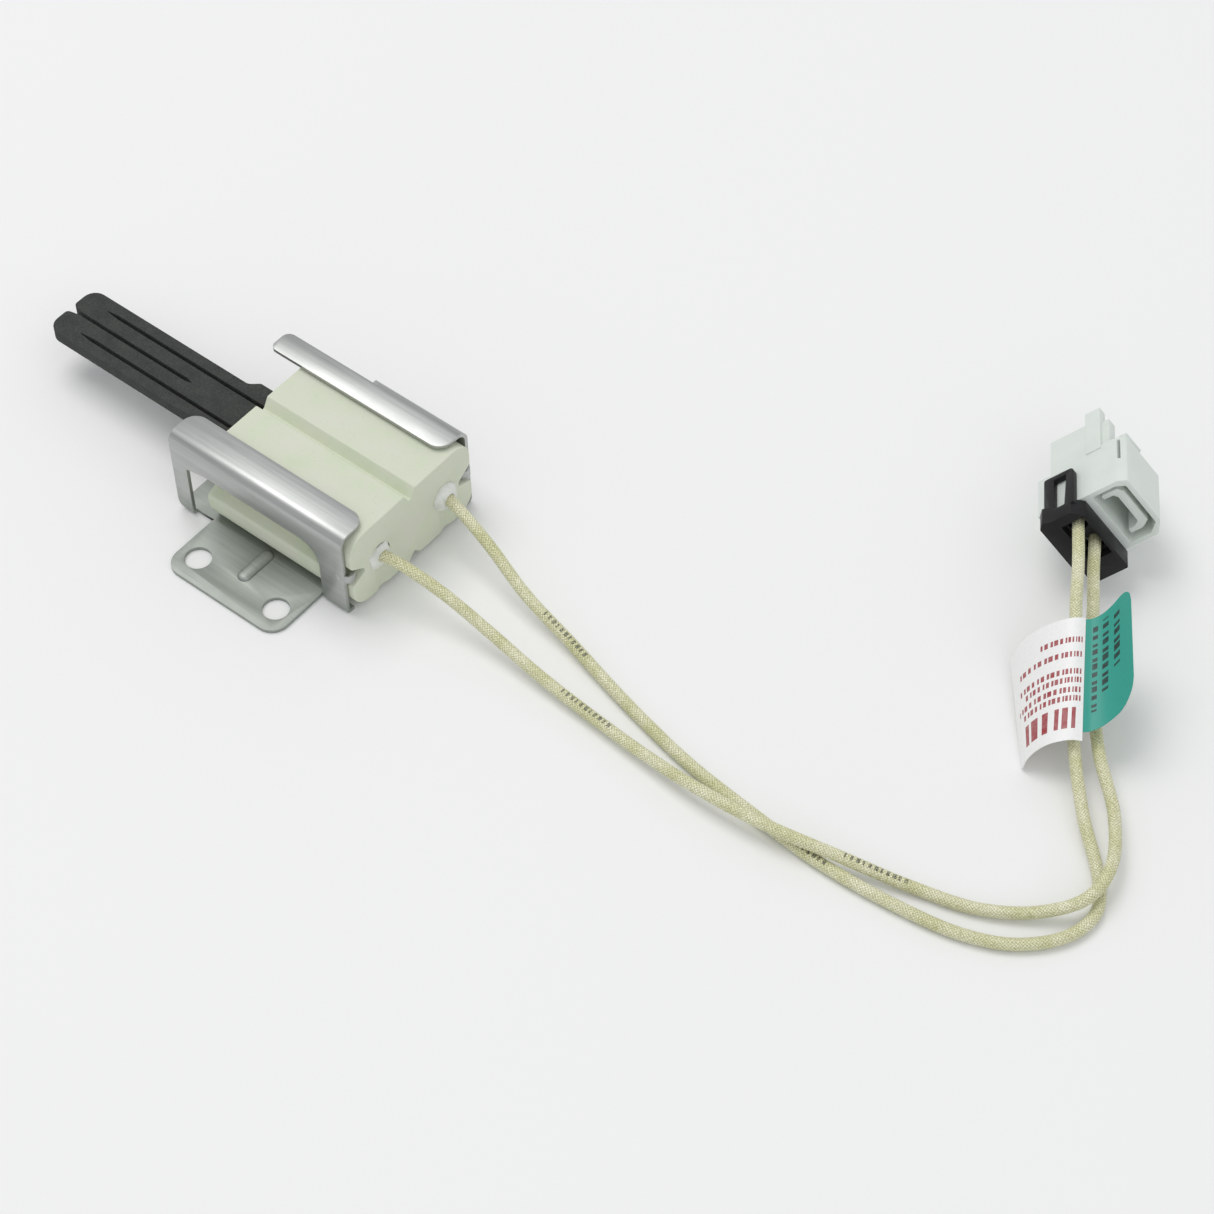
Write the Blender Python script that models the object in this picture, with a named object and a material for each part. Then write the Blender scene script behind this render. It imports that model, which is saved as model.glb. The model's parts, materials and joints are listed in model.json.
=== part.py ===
"""Hot-surface igniter: a flat silicon-carbide element cemented in a ceramic block,
held by a folded stainless bracket, with two braided leads to a two-way connector.

The origin is under the bracket's mounting flange, midway between its two screw holes.
+X runs along the block from the element's tip to the leads, +Y from the flange across
the block, +Z up from the face that the flange is screwed to.
"""
import math

import bmesh
import bpy
from mathutils import Euler, Matrix, Vector

MM = 0.001
GAP = 0.3 * MM                       # clearance between pieces that touch

# Bracket, one folded sheet
SHEET = 0.8 * MM
FLANGE_HALF_LENGTH = 14.7 * MM
FLANGE_REACH = 5.4 * MM              # from the hole line to the flange's outer edge
FLANGE_CORNER = 3.8 * MM
HOLE_SPACING = 20.6 * MM
HOLE_RADIUS = 2.75 * MM
WALL_FRONT = -22.9 * MM
WALL_REAR = 21.8 * MM
BASE_REAR = 19.0 * MM
WINDOW_FRONT = -19.0 * MM
WINDOW_REAR = 15.5 * MM
WINDOW_TOP = 15.0 * MM
LIP_WIDTH = 7.6 * MM                 # how far each top lip reaches over the block
RIGHT_WALL_FRONT = -2.0 * MM

# Ceramic block
BLOCK_LENGTH = 38.4 * MM
BLOCK_WIDTH = 34.8 * MM
BLOCK_HEIGHT = 19.1 * MM
BLOCK_FRONT = -15.3 * MM
BLOCK_MID_Y = 26.4 * MM
BLOCK_CORNER = 4.2 * MM
GROOVE_HALF_WIDTH = 1.6 * MM
GROOVE_DEPTH = 2.7 * MM
SIDE_NOTCH_DEPTH = 3.2 * MM
SLOT_HALF_WIDTH = 9.2 * MM
SLOT_HEIGHT = 5.4 * MM
CHANNEL_RADIUS = 2.8 * MM
LEAD_OFFSET = 9.4 * MM               # each lead's distance from the block's middle plane

# Element
ELEMENT_TIP = -69.2 * MM
ELEMENT_THICKNESS = 2.7 * MM
ELEMENT_HALF_WIDTH = 6.75 * MM
FOOT_HALF_WIDTH = 8.4 * MM
SLIT = 1.0 * MM

# Leads
LEAD_DIAMETER = 2.4 * MM
CORE_DIAMETER = 1.2 * MM

# Connector, in its own frame: +X the mating direction, +Z towards the latch
CONNECTOR_AT = Vector((126.1, 104.6, 13.5)) * MM
CONNECTOR_TURN = Euler((math.radians(52.7), math.radians(9.2), math.radians(123.7)))
CIRCUIT_OFFSET = 2.9 * MM            # each circuit's distance from the connector's X axis
BODY_LENGTH = 21.3 * MM
BODY_NEAR = 5.8 * MM                 # the side with the retainer's strap
BODY_FAR = -9.6 * MM
BODY_BOTTOM = -4.5 * MM
BODY_TOP = 4.0 * MM
HOOD_LENGTH = 13.1 * MM
HOOD_TOP = 12.2 * MM
HOOD_WALL = 1.0 * MM
LATCH_PIVOT = Vector((8.6, -1.8, 7.5)) * MM
LATCH_HALF_WIDTH = 4.4 * MM
PAD_HALF_WIDTH = 5.4 * MM

# Positions that follow from the sizes above
BLOCK_BOTTOM = SHEET + GAP
BLOCK_TOP = BLOCK_BOTTOM + BLOCK_HEIGHT
BLOCK_REAR = BLOCK_FRONT + BLOCK_LENGTH
BLOCK_MID_Z = BLOCK_BOTTOM + BLOCK_HEIGHT / 2
WALL_LEFT = BLOCK_MID_Y - BLOCK_WIDTH / 2 - GAP - SHEET
WALL_RIGHT = BLOCK_MID_Y + BLOCK_WIDTH / 2 + GAP + SHEET
LIP_TOP = BLOCK_TOP + 0.5 * MM + SHEET
LEADS = (("left", -1), ("right", 1))


# ---------------------------------------------------------------- building tools

def clear_scene():
    for piece in list(bpy.data.objects):
        bpy.data.objects.remove(piece)


def material(name, colour, roughness, metallic=0.0):
    finish = bpy.data.materials.new(name)
    finish.use_nodes = True
    shader = finish.node_tree.nodes["Principled BSDF"]
    shader.inputs["Base Color"].default_value = (*colour, 1.0)
    shader.inputs["Roughness"].default_value = roughness
    shader.inputs["Metallic"].default_value = metallic
    return finish


def to_object(name, bm, finish=None, parent=None):
    bmesh.ops.recalc_face_normals(bm, faces=bm.faces)
    mesh = bpy.data.meshes.new(name)
    bm.to_mesh(mesh)
    bm.free()
    piece = bpy.data.objects.new(name, mesh)
    bpy.context.collection.objects.link(piece)
    if finish:
        mesh.materials.append(finish)
    if parent:
        piece.parent = parent
    return piece


def arc(centre, radius, start, end, steps):
    """Points on a circle from one angle in degrees to another."""
    points = []
    for step in range(steps + 1):
        angle = math.radians(start + (end - start) * step / steps)
        points.append((centre[0] + radius * math.cos(angle), centre[1] + radius * math.sin(angle)))
    return points


def rounded(corners, steps=5):
    """An outline from (x, y, radius) corners, each turned into an arc."""
    outline = []
    count = len(corners)
    for index, (x, y, radius) in enumerate(corners):
        here = Vector((x, y))
        if radius == 0:
            outline.append((x, y))
            continue
        back = (Vector(corners[index - 1][:2]) - here).normalized()
        ahead = (Vector(corners[(index + 1) % count][:2]) - here).normalized()
        half_angle = back.angle(ahead) / 2
        bisector = (back + ahead).normalized()
        centre = here + bisector * radius / math.sin(half_angle)
        first = here + back * radius / math.tan(half_angle) - centre
        last = here + ahead * radius / math.tan(half_angle) - centre
        sweep = first.angle_signed(last)
        for step in range(steps + 1):
            spoke = first.copy()
            spoke.rotate(Matrix.Rotation(-sweep * step / steps, 2))
            outline.append(tuple(centre + spoke))
    return outline


def prism(outline, axis, low, high):
    """A closed outline extruded along one axis.

    The outline lies in YZ for X, in XZ for Y and in XY for Z.
    """
    place = {
        "X": lambda u, v, w: (w, u, v),
        "Y": lambda u, v, w: (u, w, v),
        "Z": lambda u, v, w: (u, v, w),
    }[axis]
    bm = bmesh.new()
    bottom = [bm.verts.new(place(u, v, low)) for u, v in outline]
    top = [bm.verts.new(place(u, v, high)) for u, v in outline]
    bm.faces.new(bottom)
    bm.faces.new(top)
    for index in range(len(outline)):
        after = (index + 1) % len(outline)
        bm.faces.new((bottom[index], bottom[after], top[after], top[index]))
    return bm


def stack(outlines):
    """A closed solid through outlines of equal length, each given with its height."""
    bm = bmesh.new()
    rings = [[bm.verts.new((x, y, z)) for x, y in outline] for outline, z in outlines]
    for lower, upper in zip(rings, rings[1:]):
        for index in range(len(lower)):
            after = (index + 1) % len(lower)
            bm.faces.new((lower[index], lower[after], upper[after], upper[index]))
    bm.faces.new(rings[0])
    bm.faces.new(rings[-1])
    return bm


def block(low, high):
    """A rectangular solid between two corners."""
    outline = [(low[0], low[1]), (high[0], low[1]), (high[0], high[1]), (low[0], high[1])]
    return prism(outline, "Z", low[2], high[2])


def rod(axis, centre, radius, low, high, sides=20):
    """A cylinder along one axis."""
    return prism(arc(centre, radius, 0, 360 - 360 / sides, sides - 1), axis, low, high)


def turned(profile, centre, sides=24):
    """A ring of revolution about an axis along X, from (x, radius) points of its section."""
    bm = bmesh.new()
    rings = []
    for x, radius in profile:
        circle = arc(centre, radius, 0, 360 - 360 / sides, sides - 1)
        rings.append([bm.verts.new((x, y, z)) for y, z in circle])
    for ring, after in zip(rings, rings[1:] + rings[:1]):
        for index in range(sides):
            beside = (index + 1) % sides
            bm.faces.new((ring[index], ring[beside], after[beside], after[index]))
    return bm


def combine(piece, bm, operation):
    """Joins a second solid to a piece, or cuts it away, and keeps the result as its mesh."""
    tool = to_object(piece.name + "_tool", bm)
    tool.parent = piece.parent
    modifier = piece.modifiers.new(operation.lower(), "BOOLEAN")
    modifier.operation = operation
    modifier.solver = "EXACT"
    modifier.object = tool
    bpy.context.view_layer.update()
    shape = bpy.data.meshes.new_from_object(piece.evaluated_get(bpy.context.evaluated_depsgraph_get()))
    piece.modifiers.clear()
    piece.data = shape
    bpy.data.objects.remove(tool)


def cut(piece, bm):
    combine(piece, bm, "DIFFERENCE")


def join(piece, bm):
    combine(piece, bm, "UNION")


def smooth(piece, angle=40):
    piece.data.shade_smooth()
    piece.data.set_sharp_from_angle(angle=math.radians(angle))


def corner_waste(corner, outward, radius, margin=1.0 * MM):
    """The outline that is cut away to round a sheet's corner."""
    x, y = corner
    sx, sy = outward
    centre = (x - sx * radius, y - sy * radius)
    outline = [(x + sx * margin, y + sy * margin), (x + sx * margin, centre[1])]
    for step in range(7):
        angle = math.radians(90 * step / 6)
        outline.append((centre[0] + sx * radius * math.cos(angle), centre[1] + sy * radius * math.sin(angle)))
    outline.append((centre[0], y + sy * margin))
    return outline


# ---------------------------------------------------------------- igniter head

def make_ceramic_block(finish):
    half = BLOCK_WIDTH / 2
    notch = half - SIDE_NOTCH_DEPTH
    side = [
        (GROOVE_HALF_WIDTH, 0, 0.3 * MM),
        (half, 0, BLOCK_CORNER),
        (half, 7.1 * MM, 0.8 * MM),
        (notch, 8.5 * MM, 0.4 * MM),
        (notch, 10.7 * MM, 0.4 * MM),
        (half, 12.1 * MM, 0.8 * MM),
        (half, BLOCK_HEIGHT, BLOCK_CORNER),
        (GROOVE_HALF_WIDTH, BLOCK_HEIGHT, 0.3 * MM),
    ]
    other_side = [(-y, z, radius) for y, z, radius in reversed(side)]
    groove = [(0, BLOCK_HEIGHT - GROOVE_DEPTH, 0.4 * MM)]
    bottom_groove = [(0, 1.8 * MM, 0.4 * MM)]
    outline = rounded(side + groove + other_side + bottom_groove)
    placed = [(BLOCK_MID_Y + y, BLOCK_BOTTOM + z) for y, z in outline]
    piece = to_object("ceramic_block", prism(placed, "X", BLOCK_FRONT, BLOCK_REAR), finish)
    slot_low = (BLOCK_FRONT - MM, BLOCK_MID_Y - SLOT_HALF_WIDTH, BLOCK_MID_Z - SLOT_HEIGHT / 2)
    slot_high = (3.0 * MM, BLOCK_MID_Y + SLOT_HALF_WIDTH, BLOCK_MID_Z + SLOT_HEIGHT / 2)
    cut(piece, block(slot_low, slot_high))
    for _, side_sign in LEADS:
        y = BLOCK_MID_Y + side_sign * LEAD_OFFSET
        cut(piece, rod("X", (y, BLOCK_MID_Z), CHANNEL_RADIUS, -3.4 * MM, BLOCK_REAR + MM))
        relief = (BLOCK_REAR + 2.1 * MM, y)
        cut(piece, rod("Z", relief, 2.8 * MM, -MM, BLOCK_MID_Z))
    smooth(piece, 30)
    return piece


def make_element(finish):
    """One blade, slit so that the current runs up and down each lobe."""
    slit = SLIT / 2
    leg = 3.9 * MM
    slit_end = -62.5 * MM
    half = [
        (-35.1 * MM, 0, 0),
        (-36.6 * MM, slit, 0),
        (-67.0 * MM, slit, 0),
        (ELEMENT_TIP, slit + 0.5 * MM, 0),
        (ELEMENT_TIP, ELEMENT_HALF_WIDTH, 2.0 * MM),
        (-25.6 * MM, ELEMENT_HALF_WIDTH, 1.0 * MM),
        (-23.4 * MM, FOOT_HALF_WIDTH, 0.8 * MM),
        (-4.0 * MM, FOOT_HALF_WIDTH, 0),
        (-4.0 * MM, leg + slit, 0),
        (slit_end + 4 * MM, leg + slit, 0),
        (slit_end, leg + 0.1 * MM, 0),
        (slit_end, leg - 0.1 * MM, 0),
        (slit_end + 4 * MM, leg - slit, 0),
        (-9.0 * MM, leg - slit, 0),
    ]
    other_half = [(x, -y, radius) for x, y, radius in reversed(half[1:])]
    outline = [(x, BLOCK_MID_Y + y) for x, y in rounded(half + other_half)]
    low = BLOCK_MID_Z - ELEMENT_THICKNESS / 2
    return to_object("sic_element", prism(outline, "Z", low, low + ELEMENT_THICKNESS), finish)


def make_front_cement(finish):
    """The cement collar that fills the slot's mouth round the element."""
    rear = BLOCK_FRONT + 6.0 * MM
    outer_y = SLOT_HALF_WIDTH - GAP
    outer_z = SLOT_HEIGHT / 2 - GAP
    low = (BLOCK_FRONT + 0.2 * MM, BLOCK_MID_Y - outer_y, BLOCK_MID_Z - outer_z)
    high = (rear, BLOCK_MID_Y + outer_y, BLOCK_MID_Z + outer_z)
    piece = to_object("front_cement", block(low, high), finish)
    inner_y = FOOT_HALF_WIDTH + 0.25 * MM
    inner_z = ELEMENT_THICKNESS / 2 + 0.25 * MM
    hole_low = (BLOCK_FRONT - MM, BLOCK_MID_Y - inner_y, BLOCK_MID_Z - inner_z)
    hole_high = (rear + MM, BLOCK_MID_Y + inner_y, BLOCK_MID_Z + inner_z)
    cut(piece, block(hole_low, hole_high))
    return piece


def make_rear_cement(name, y, collar, bulge, finish):
    """The cement plug that seals a lead in its channel and bulges out of the rear face."""
    bore = LEAD_DIAMETER / 2 + GAP
    stem = CHANNEL_RADIUS - GAP
    shoulder = BLOCK_REAR + GAP
    section = [(BLOCK_REAR - 7 * MM, bore), (BLOCK_REAR - 7 * MM, stem), (shoulder, stem), (shoulder, collar)]
    for step in range(1, 5):
        angle = math.radians(22.5 * step)
        reach = bore + 0.3 * MM + (collar - bore - 0.3 * MM) * math.cos(angle)
        section.append((shoulder + bulge * math.sin(angle), reach))
    section.append((shoulder + bulge, bore))
    piece = to_object(name, turned(section, (y, BLOCK_MID_Z)), finish)
    smooth(piece)
    return piece


def make_terminal(name, side_sign, finish):
    """A clip over the element's foot, with a crimp barrel for the lead's core."""
    foot = BLOCK_MID_Y + side_sign * 6.6 * MM
    barrel_y = BLOCK_MID_Y + side_sign * LEAD_OFFSET
    half_height = ELEMENT_THICKNESS / 2 + GAP
    wall = 0.4 * MM
    low = (-8.0 * MM, foot - 1.4 * MM, BLOCK_MID_Z - half_height - wall)
    high = (-3.2 * MM, foot + 1.4 * MM, BLOCK_MID_Z + half_height + wall)
    piece = to_object(name, block(low, high), finish)
    mouth_low = (low[0] - MM, low[1] - MM, BLOCK_MID_Z - half_height)
    mouth_high = (-3.6 * MM, high[1] + MM, BLOCK_MID_Z + half_height)
    cut(piece, block(mouth_low, mouth_high))
    inner, outer = sorted((foot - side_sign * 1.0 * MM, barrel_y - side_sign * 0.9 * MM))
    strap_low = (-3.5 * MM, inner, BLOCK_MID_Z - 0.4 * MM)
    strap_high = (-0.2 * MM, outer, BLOCK_MID_Z + 0.4 * MM)
    join(piece, block(strap_low, strap_high))
    join(piece, rod("X", (barrel_y, BLOCK_MID_Z), 1.4 * MM, -1.6 * MM, 4.6 * MM, 16))
    cut(piece, rod("X", (barrel_y, BLOCK_MID_Z), CORE_DIAMETER / 2 + 0.25 * MM, 0.4 * MM, 6.0 * MM, 16))
    return piece


def make_core_end(name, side_sign, finish):
    y = BLOCK_MID_Y + side_sign * LEAD_OFFSET
    return to_object(name, rod("X", (y, BLOCK_MID_Z), CORE_DIAMETER / 2, 0.8 * MM, 8.7 * MM, 12), finish)


# ---------------------------------------------------------------- bracket

def channel_section():
    """The folded section: lip, left wall, base, right wall and lip, seen along X."""
    corners = [(WALL_LEFT, LIP_TOP, 1.5), (WALL_LEFT, 0, 1.2), (WALL_RIGHT, 0, 1.2), (WALL_RIGHT, LIP_TOP, 2.6)]
    path = [Vector((WALL_LEFT + LIP_WIDTH, LIP_TOP))]
    path += [Vector(corner[:2]) for corner in corners]
    path.append(Vector((WALL_RIGHT - LIP_WIDTH, LIP_TOP)))
    outside = [path[0]]
    inside = [path[0] - Vector((0, SHEET))]
    for index, (_, _, bend) in enumerate(corners, start=1):
        radius = bend * MM
        arrive = (path[index] - path[index - 1]).normalized()
        leave = (path[index + 1] - path[index]).normalized()
        centre = path[index] - radius * arrive + radius * leave
        for step in range(6):
            angle = math.radians(90 * step / 5)
            spoke = -leave * math.cos(angle) + arrive * math.sin(angle)
            outside.append(centre + radius * spoke)
            inside.append(centre + (radius - SHEET) * spoke)
    outside.append(path[-1])
    inside.append(path[-1] - Vector((0, SHEET)))
    return [tuple(point) for point in outside + inside[::-1]]


def make_bracket(finish):
    piece = to_object("mounting_bracket", prism(channel_section(), "X", WALL_FRONT, WALL_REAR), finish)
    window = rounded([
        (WINDOW_FRONT, -MM, 0),
        (WINDOW_REAR, -MM, 0),
        (WINDOW_REAR, WINDOW_TOP, 1.2 * MM),
        (WINDOW_FRONT, WINDOW_TOP, 1.2 * MM),
    ])
    cut(piece, prism(window, "Y", WALL_LEFT - MM, WALL_LEFT + 1.25 * MM))
    front_relief = rounded([
        (WALL_FRONT - MM, -MM, 0),
        (RIGHT_WALL_FRONT, -MM, 0),
        (RIGHT_WALL_FRONT, LIP_TOP - 1.8 * MM, 0),
        (RIGHT_WALL_FRONT + 0.5 * MM, LIP_TOP - 0.6 * MM, 0),
        (RIGHT_WALL_FRONT + 1.8 * MM, LIP_TOP, 0),
        (RIGHT_WALL_FRONT + 1.8 * MM, LIP_TOP + MM, 0),
        (WALL_FRONT - MM, LIP_TOP + MM, 0),
    ])
    cut(piece, prism(front_relief, "Y", WALL_RIGHT - 1.9 * MM, WALL_RIGHT + MM))
    cut(piece, block((BASE_REAR, WALL_LEFT + 2 * MM, -MM), (WALL_REAR + MM, WALL_RIGHT - 2 * MM, 2 * MM)))
    left_lip = WALL_LEFT + LIP_WIDTH
    right_lip = WALL_RIGHT - LIP_WIDTH
    lip_corners = [
        ((WALL_FRONT, left_lip), (-1, 1), 3.2 * MM),
        ((WALL_REAR, left_lip), (1, 1), 3.0 * MM),
        ((WALL_FRONT, right_lip), (-1, -1), 1.2 * MM),
        ((WALL_FRONT, WALL_RIGHT - 1.9 * MM), (-1, 1), 1.8 * MM),
        ((WALL_REAR, right_lip), (1, -1), 3.0 * MM),
    ]
    for corner, outward, radius in lip_corners:
        waste = corner_waste(corner, outward, radius)
        cut(piece, prism(waste, "Z", LIP_TOP - 2 * MM, LIP_TOP + MM))
    foot_corner = corner_waste((WALL_FRONT, 0), (-1, -1), 2.4 * MM)
    cut(piece, prism(foot_corner, "Y", WALL_LEFT - MM, WALL_LEFT + 1.3 * MM))
    join(piece, make_flange())
    join(piece, make_rib())
    for wall, inward in ((WALL_LEFT, 1), (WALL_RIGHT, -1)):
        ends = sorted((wall + inward * 0.3 * MM, wall + inward * 3.2 * MM))
        low = (WALL_REAR - 2.4 * MM, ends[0], BLOCK_MID_Z - 0.5 * MM)
        high = (WALL_REAR - 0.4 * MM, ends[1], BLOCK_MID_Z + 0.5 * MM)
        join(piece, block(low, high))
    for side_sign in (-1, 1):
        hole = (side_sign * HOLE_SPACING / 2, 0)
        cut(piece, rod("Z", hole, HOLE_RADIUS, -MM, 2 * MM, 32))
    smooth(piece, 30)
    return piece


def make_flange():
    """The flap folded out of the left wall, flat with the base."""
    root = WALL_LEFT + 4.0 * MM
    outline = rounded([
        (-FLANGE_HALF_LENGTH, root, 0),
        (-FLANGE_HALF_LENGTH, -FLANGE_REACH, FLANGE_CORNER),
        (FLANGE_HALF_LENGTH, -FLANGE_REACH, FLANGE_CORNER),
        (FLANGE_HALF_LENGTH, root, 0),
    ], 8)
    return prism(outline, "Z", 0, SHEET)


def make_rib():
    """The pressed stiffener that runs from the flange in under the block's edge."""
    layers = []
    for step in range(5):
        angle = math.radians(20 * step)
        radius = 1.5 * MM * math.cos(angle)
        height = SHEET - 0.2 * MM + 0.9 * MM * math.sin(angle)
        ends = arc((0, 2.3 * MM), radius, 180, 360, 8) + arc((0, 7.0 * MM), radius, 0, 180, 8)
        layers.append((ends, height))
    return stack(layers)


# ---------------------------------------------------------------- leads and labels

def connector_point(x, y, z):
    """A point of the connector's frame, in world coordinates."""
    return CONNECTOR_AT + CONNECTOR_TURN.to_matrix() @ Vector((x, y, z))


def lead_route(side):
    """Each lead's centre line: straight out of the block, down to the table and up to the connector."""
    routes = {
        "right": [
            (27.0, 35.2, 10.4), (36.5, 33.3, 7.9), (48.3, 30.1, 4.7), (61.3, 27.8, 2.3),
            (79.2, 23.4, 1.3), (96.5, 19.8, 1.3), (112.6, 18.1, 1.3), (127.0, 17.0, 1.3),
            (144.1, 17.9, 1.3), (158.0, 20.4, 1.3), (166.8, 24.8, 1.3), (172.8, 32.0, 1.3),
            (173.8, 39.0, 1.3), (170.1, 45.2, 1.4), (160.5, 54.2, 3.0), (152.2, 63.2, 6.0),
            (146.3, 70.6, 9.5), (141.2, 78.9, 12.7), (136.3, 85.8, 14.8), (131.7, 93.2, 15.9),
        ],
        "left": [
            (27.0, 17.6, 10.4), (36.8, 18.8, 7.8), (48.4, 18.8, 4.8), (61.8, 17.7, 2.8),
            (74.9, 16.8, 2.1), (89.4, 15.6, 2.6), (103.0, 14.9, 3.9), (117.7, 16.0, 4.3),
            (131.3, 19.2, 3.3), (145.1, 23.0, 1.5), (157.0, 26.6, 1.4), (166.0, 32.2, 2.2),
            (171.6, 38.6, 4.1), (171.4, 46.6, 4.2), (165.5, 56.8, 3.9), (155.6, 66.4, 4.9),
            (147.5, 76.0, 7.1), (141.8, 83.9, 8.9), (136.5, 92.0, 10.3), (132.4, 98.1, 11.2),
        ],
    }
    side_sign = dict(LEADS)[side]
    start = Vector((9.3 * MM, BLOCK_MID_Y + side_sign * LEAD_OFFSET, BLOCK_MID_Z))
    route = [start, Vector((BLOCK_REAR, start.y, start.z))]
    route += [Vector(point) * MM for point in routes[side]]
    y = side_sign * CIRCUIT_OFFSET
    route += [connector_point(-3.6 * MM, y, 0), connector_point(1.2 * MM, y, 0)]
    return route


def smooth_points(route, spacing):
    """Evenly spaced points on a centripetal Catmull-Rom curve through the route."""
    padded = [2 * route[0] - route[1]] + route + [2 * route[-1] - route[-2]]
    dense = []
    for a, b, c, d in zip(padded, padded[1:], padded[2:], padded[3:]):
        knots = [0.0]
        for first, second in ((a, b), (b, c), (c, d)):
            knots.append(knots[-1] + math.sqrt((second - first).length))
        for step in range(24):
            t = knots[1] + (knots[2] - knots[1]) * step / 24
            level = [a, b, c, d]
            for span in (1, 2, 3):
                level = blend_knots(level, knots, span, t)
            dense.append(level[0])
    dense.append(route[-1])
    return even_points(dense, spacing)


def blend_knots(level, knots, span, t):
    """One round of the curve's pyramid of blends."""
    first = max(span - 2, 0)
    reach = min(span, 2) if span < 3 else 1
    result = []
    for index in range(len(level) - 1):
        low = index + first
        share = (t - knots[low]) / (knots[low + reach] - knots[low])
        result.append(level[index].lerp(level[index + 1], share))
    return result


def even_points(dense, spacing):
    lengths = [0.0]
    for first, second in zip(dense, dense[1:]):
        lengths.append(lengths[-1] + (second - first).length)
    count = round(lengths[-1] / spacing)
    points = []
    index = 0
    for step in range(count + 1):
        target = lengths[-1] * step / count
        while index < len(dense) - 2 and lengths[index + 1] < target:
            index += 1
        run = lengths[index + 1] - lengths[index]
        points.append(dense[index].lerp(dense[index + 1], (target - lengths[index]) / run))
    return points


def make_lead(name, side, finish):
    points = smooth_points(lead_route(side), 2.1 * LEAD_DIAMETER)
    curve = bpy.data.curves.new(name, "CURVE")
    curve.dimensions = "3D"
    curve.bevel_depth = LEAD_DIAMETER / 2
    curve.bevel_resolution = 2
    curve.use_fill_caps = True
    spline = curve.splines.new("POLY")
    spline.points.add(len(points) - 1)
    for target, point in zip(spline.points, points):
        target.co = (*point, 1.0)
    curve.materials.append(finish)
    piece = bpy.data.objects.new(name, curve)
    bpy.context.collection.objects.link(piece)
    return piece


def make_label(name, profile, length, thickness, finish):
    """A paper flag: a bent strip, seen along the leads, drawn out along them."""
    section = bpy.data.objects["label_frame"]
    path = [Vector(point) * MM for point in profile]
    upper, lower = [], []
    for index, point in enumerate(path):
        before = path[max(index - 1, 0)]
        after = path[min(index + 1, len(path) - 1)]
        along = (after - before).normalized()
        normal = Vector((-along.y, along.x)) * thickness / 2
        upper.append(tuple(point + normal))
        lower.append(tuple(point - normal))
    return to_object(name, prism(upper + lower[::-1], "X", -length / 2, length / 2), finish, section)


# ---------------------------------------------------------------- connector

def hood_outline(inset, floor):
    """The hood's cross-section, pulled in by a wall thickness."""
    corner = 0.6 * MM
    return rounded([
        (BODY_FAR + inset, floor, 0.2 * MM),
        (BODY_NEAR - inset, floor, 0.2 * MM),
        (BODY_NEAR - inset, HOOD_TOP - inset - 1.8 * MM, 0.2 * MM),
        (BODY_NEAR - inset - 0.9 * MM, HOOD_TOP - inset, corner),
        (BODY_NEAR - 12.6 * MM, HOOD_TOP - inset, corner),
        (BODY_FAR + inset, HOOD_TOP - inset - 2.1 * MM, corner),
    ], 3)


def make_housing(finish, frame):
    body = rounded([
        (BODY_FAR, BODY_BOTTOM, 0.5 * MM),
        (BODY_NEAR, BODY_BOTTOM, 0.5 * MM),
        (BODY_NEAR, BODY_TOP, 0),
        (BODY_FAR, BODY_TOP, 0),
    ], 3)
    piece = to_object("connector_housing", prism(body, "X", 0, BODY_LENGTH), finish, frame)
    join(piece, prism(hood_outline(0, BODY_TOP - 0.6 * MM), "X", 0, HOOD_LENGTH))
    upper_low = (HOOD_LENGTH - MM, BODY_FAR + 2.0 * MM, BODY_TOP - MM)
    upper_high = (BODY_LENGTH - 0.6 * MM, BODY_NEAR - 0.6 * MM, 8.6 * MM)
    join(piece, block(upper_low, upper_high))
    rib_low = (HOOD_LENGTH - MM, BODY_NEAR - 1.6 * MM, 3.8 * MM)
    rib_high = (BODY_LENGTH + 3.0 * MM, BODY_NEAR + 0.3 * MM, 7.1 * MM)
    join(piece, block(rib_low, rib_high))
    join(piece, block((1.2 * MM, 2.4 * MM, -7.4 * MM), (11.9 * MM, BODY_NEAR - 0.4 * MM, BODY_BOTTOM + MM)))
    cut(piece, prism(hood_outline(HOOD_WALL, BODY_TOP + 0.4 * MM), "X", -MM, HOOD_LENGTH - HOOD_WALL))
    hook_half = LATCH_HALF_WIDTH + 0.5 * MM
    hook_low = (HOOD_LENGTH - 2 * MM, LATCH_PIVOT.y - hook_half, 5.6 * MM)
    cut(piece, block(hook_low, (BODY_LENGTH + MM, LATCH_PIVOT.y + hook_half, 10.8 * MM)))
    cut(piece, block((8.0 * MM, BODY_FAR + 1.2 * MM, -2.4 * MM), (BODY_LENGTH + MM, BODY_FAR + 3.4 * MM, 2.4 * MM)))
    cut(piece, block((6.8 * MM, BODY_NEAR - 2.0 * MM, 10.5 * MM), (12.4 * MM, BODY_NEAR + MM, 11.1 * MM)))
    for _, side_sign in LEADS:
        y = side_sign * CIRCUIT_OFFSET
        cut(piece, block((-MM, y - 2.1 * MM, -2.1 * MM), (BODY_LENGTH + MM, y + 2.1 * MM, 2.1 * MM)))
    return piece


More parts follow.
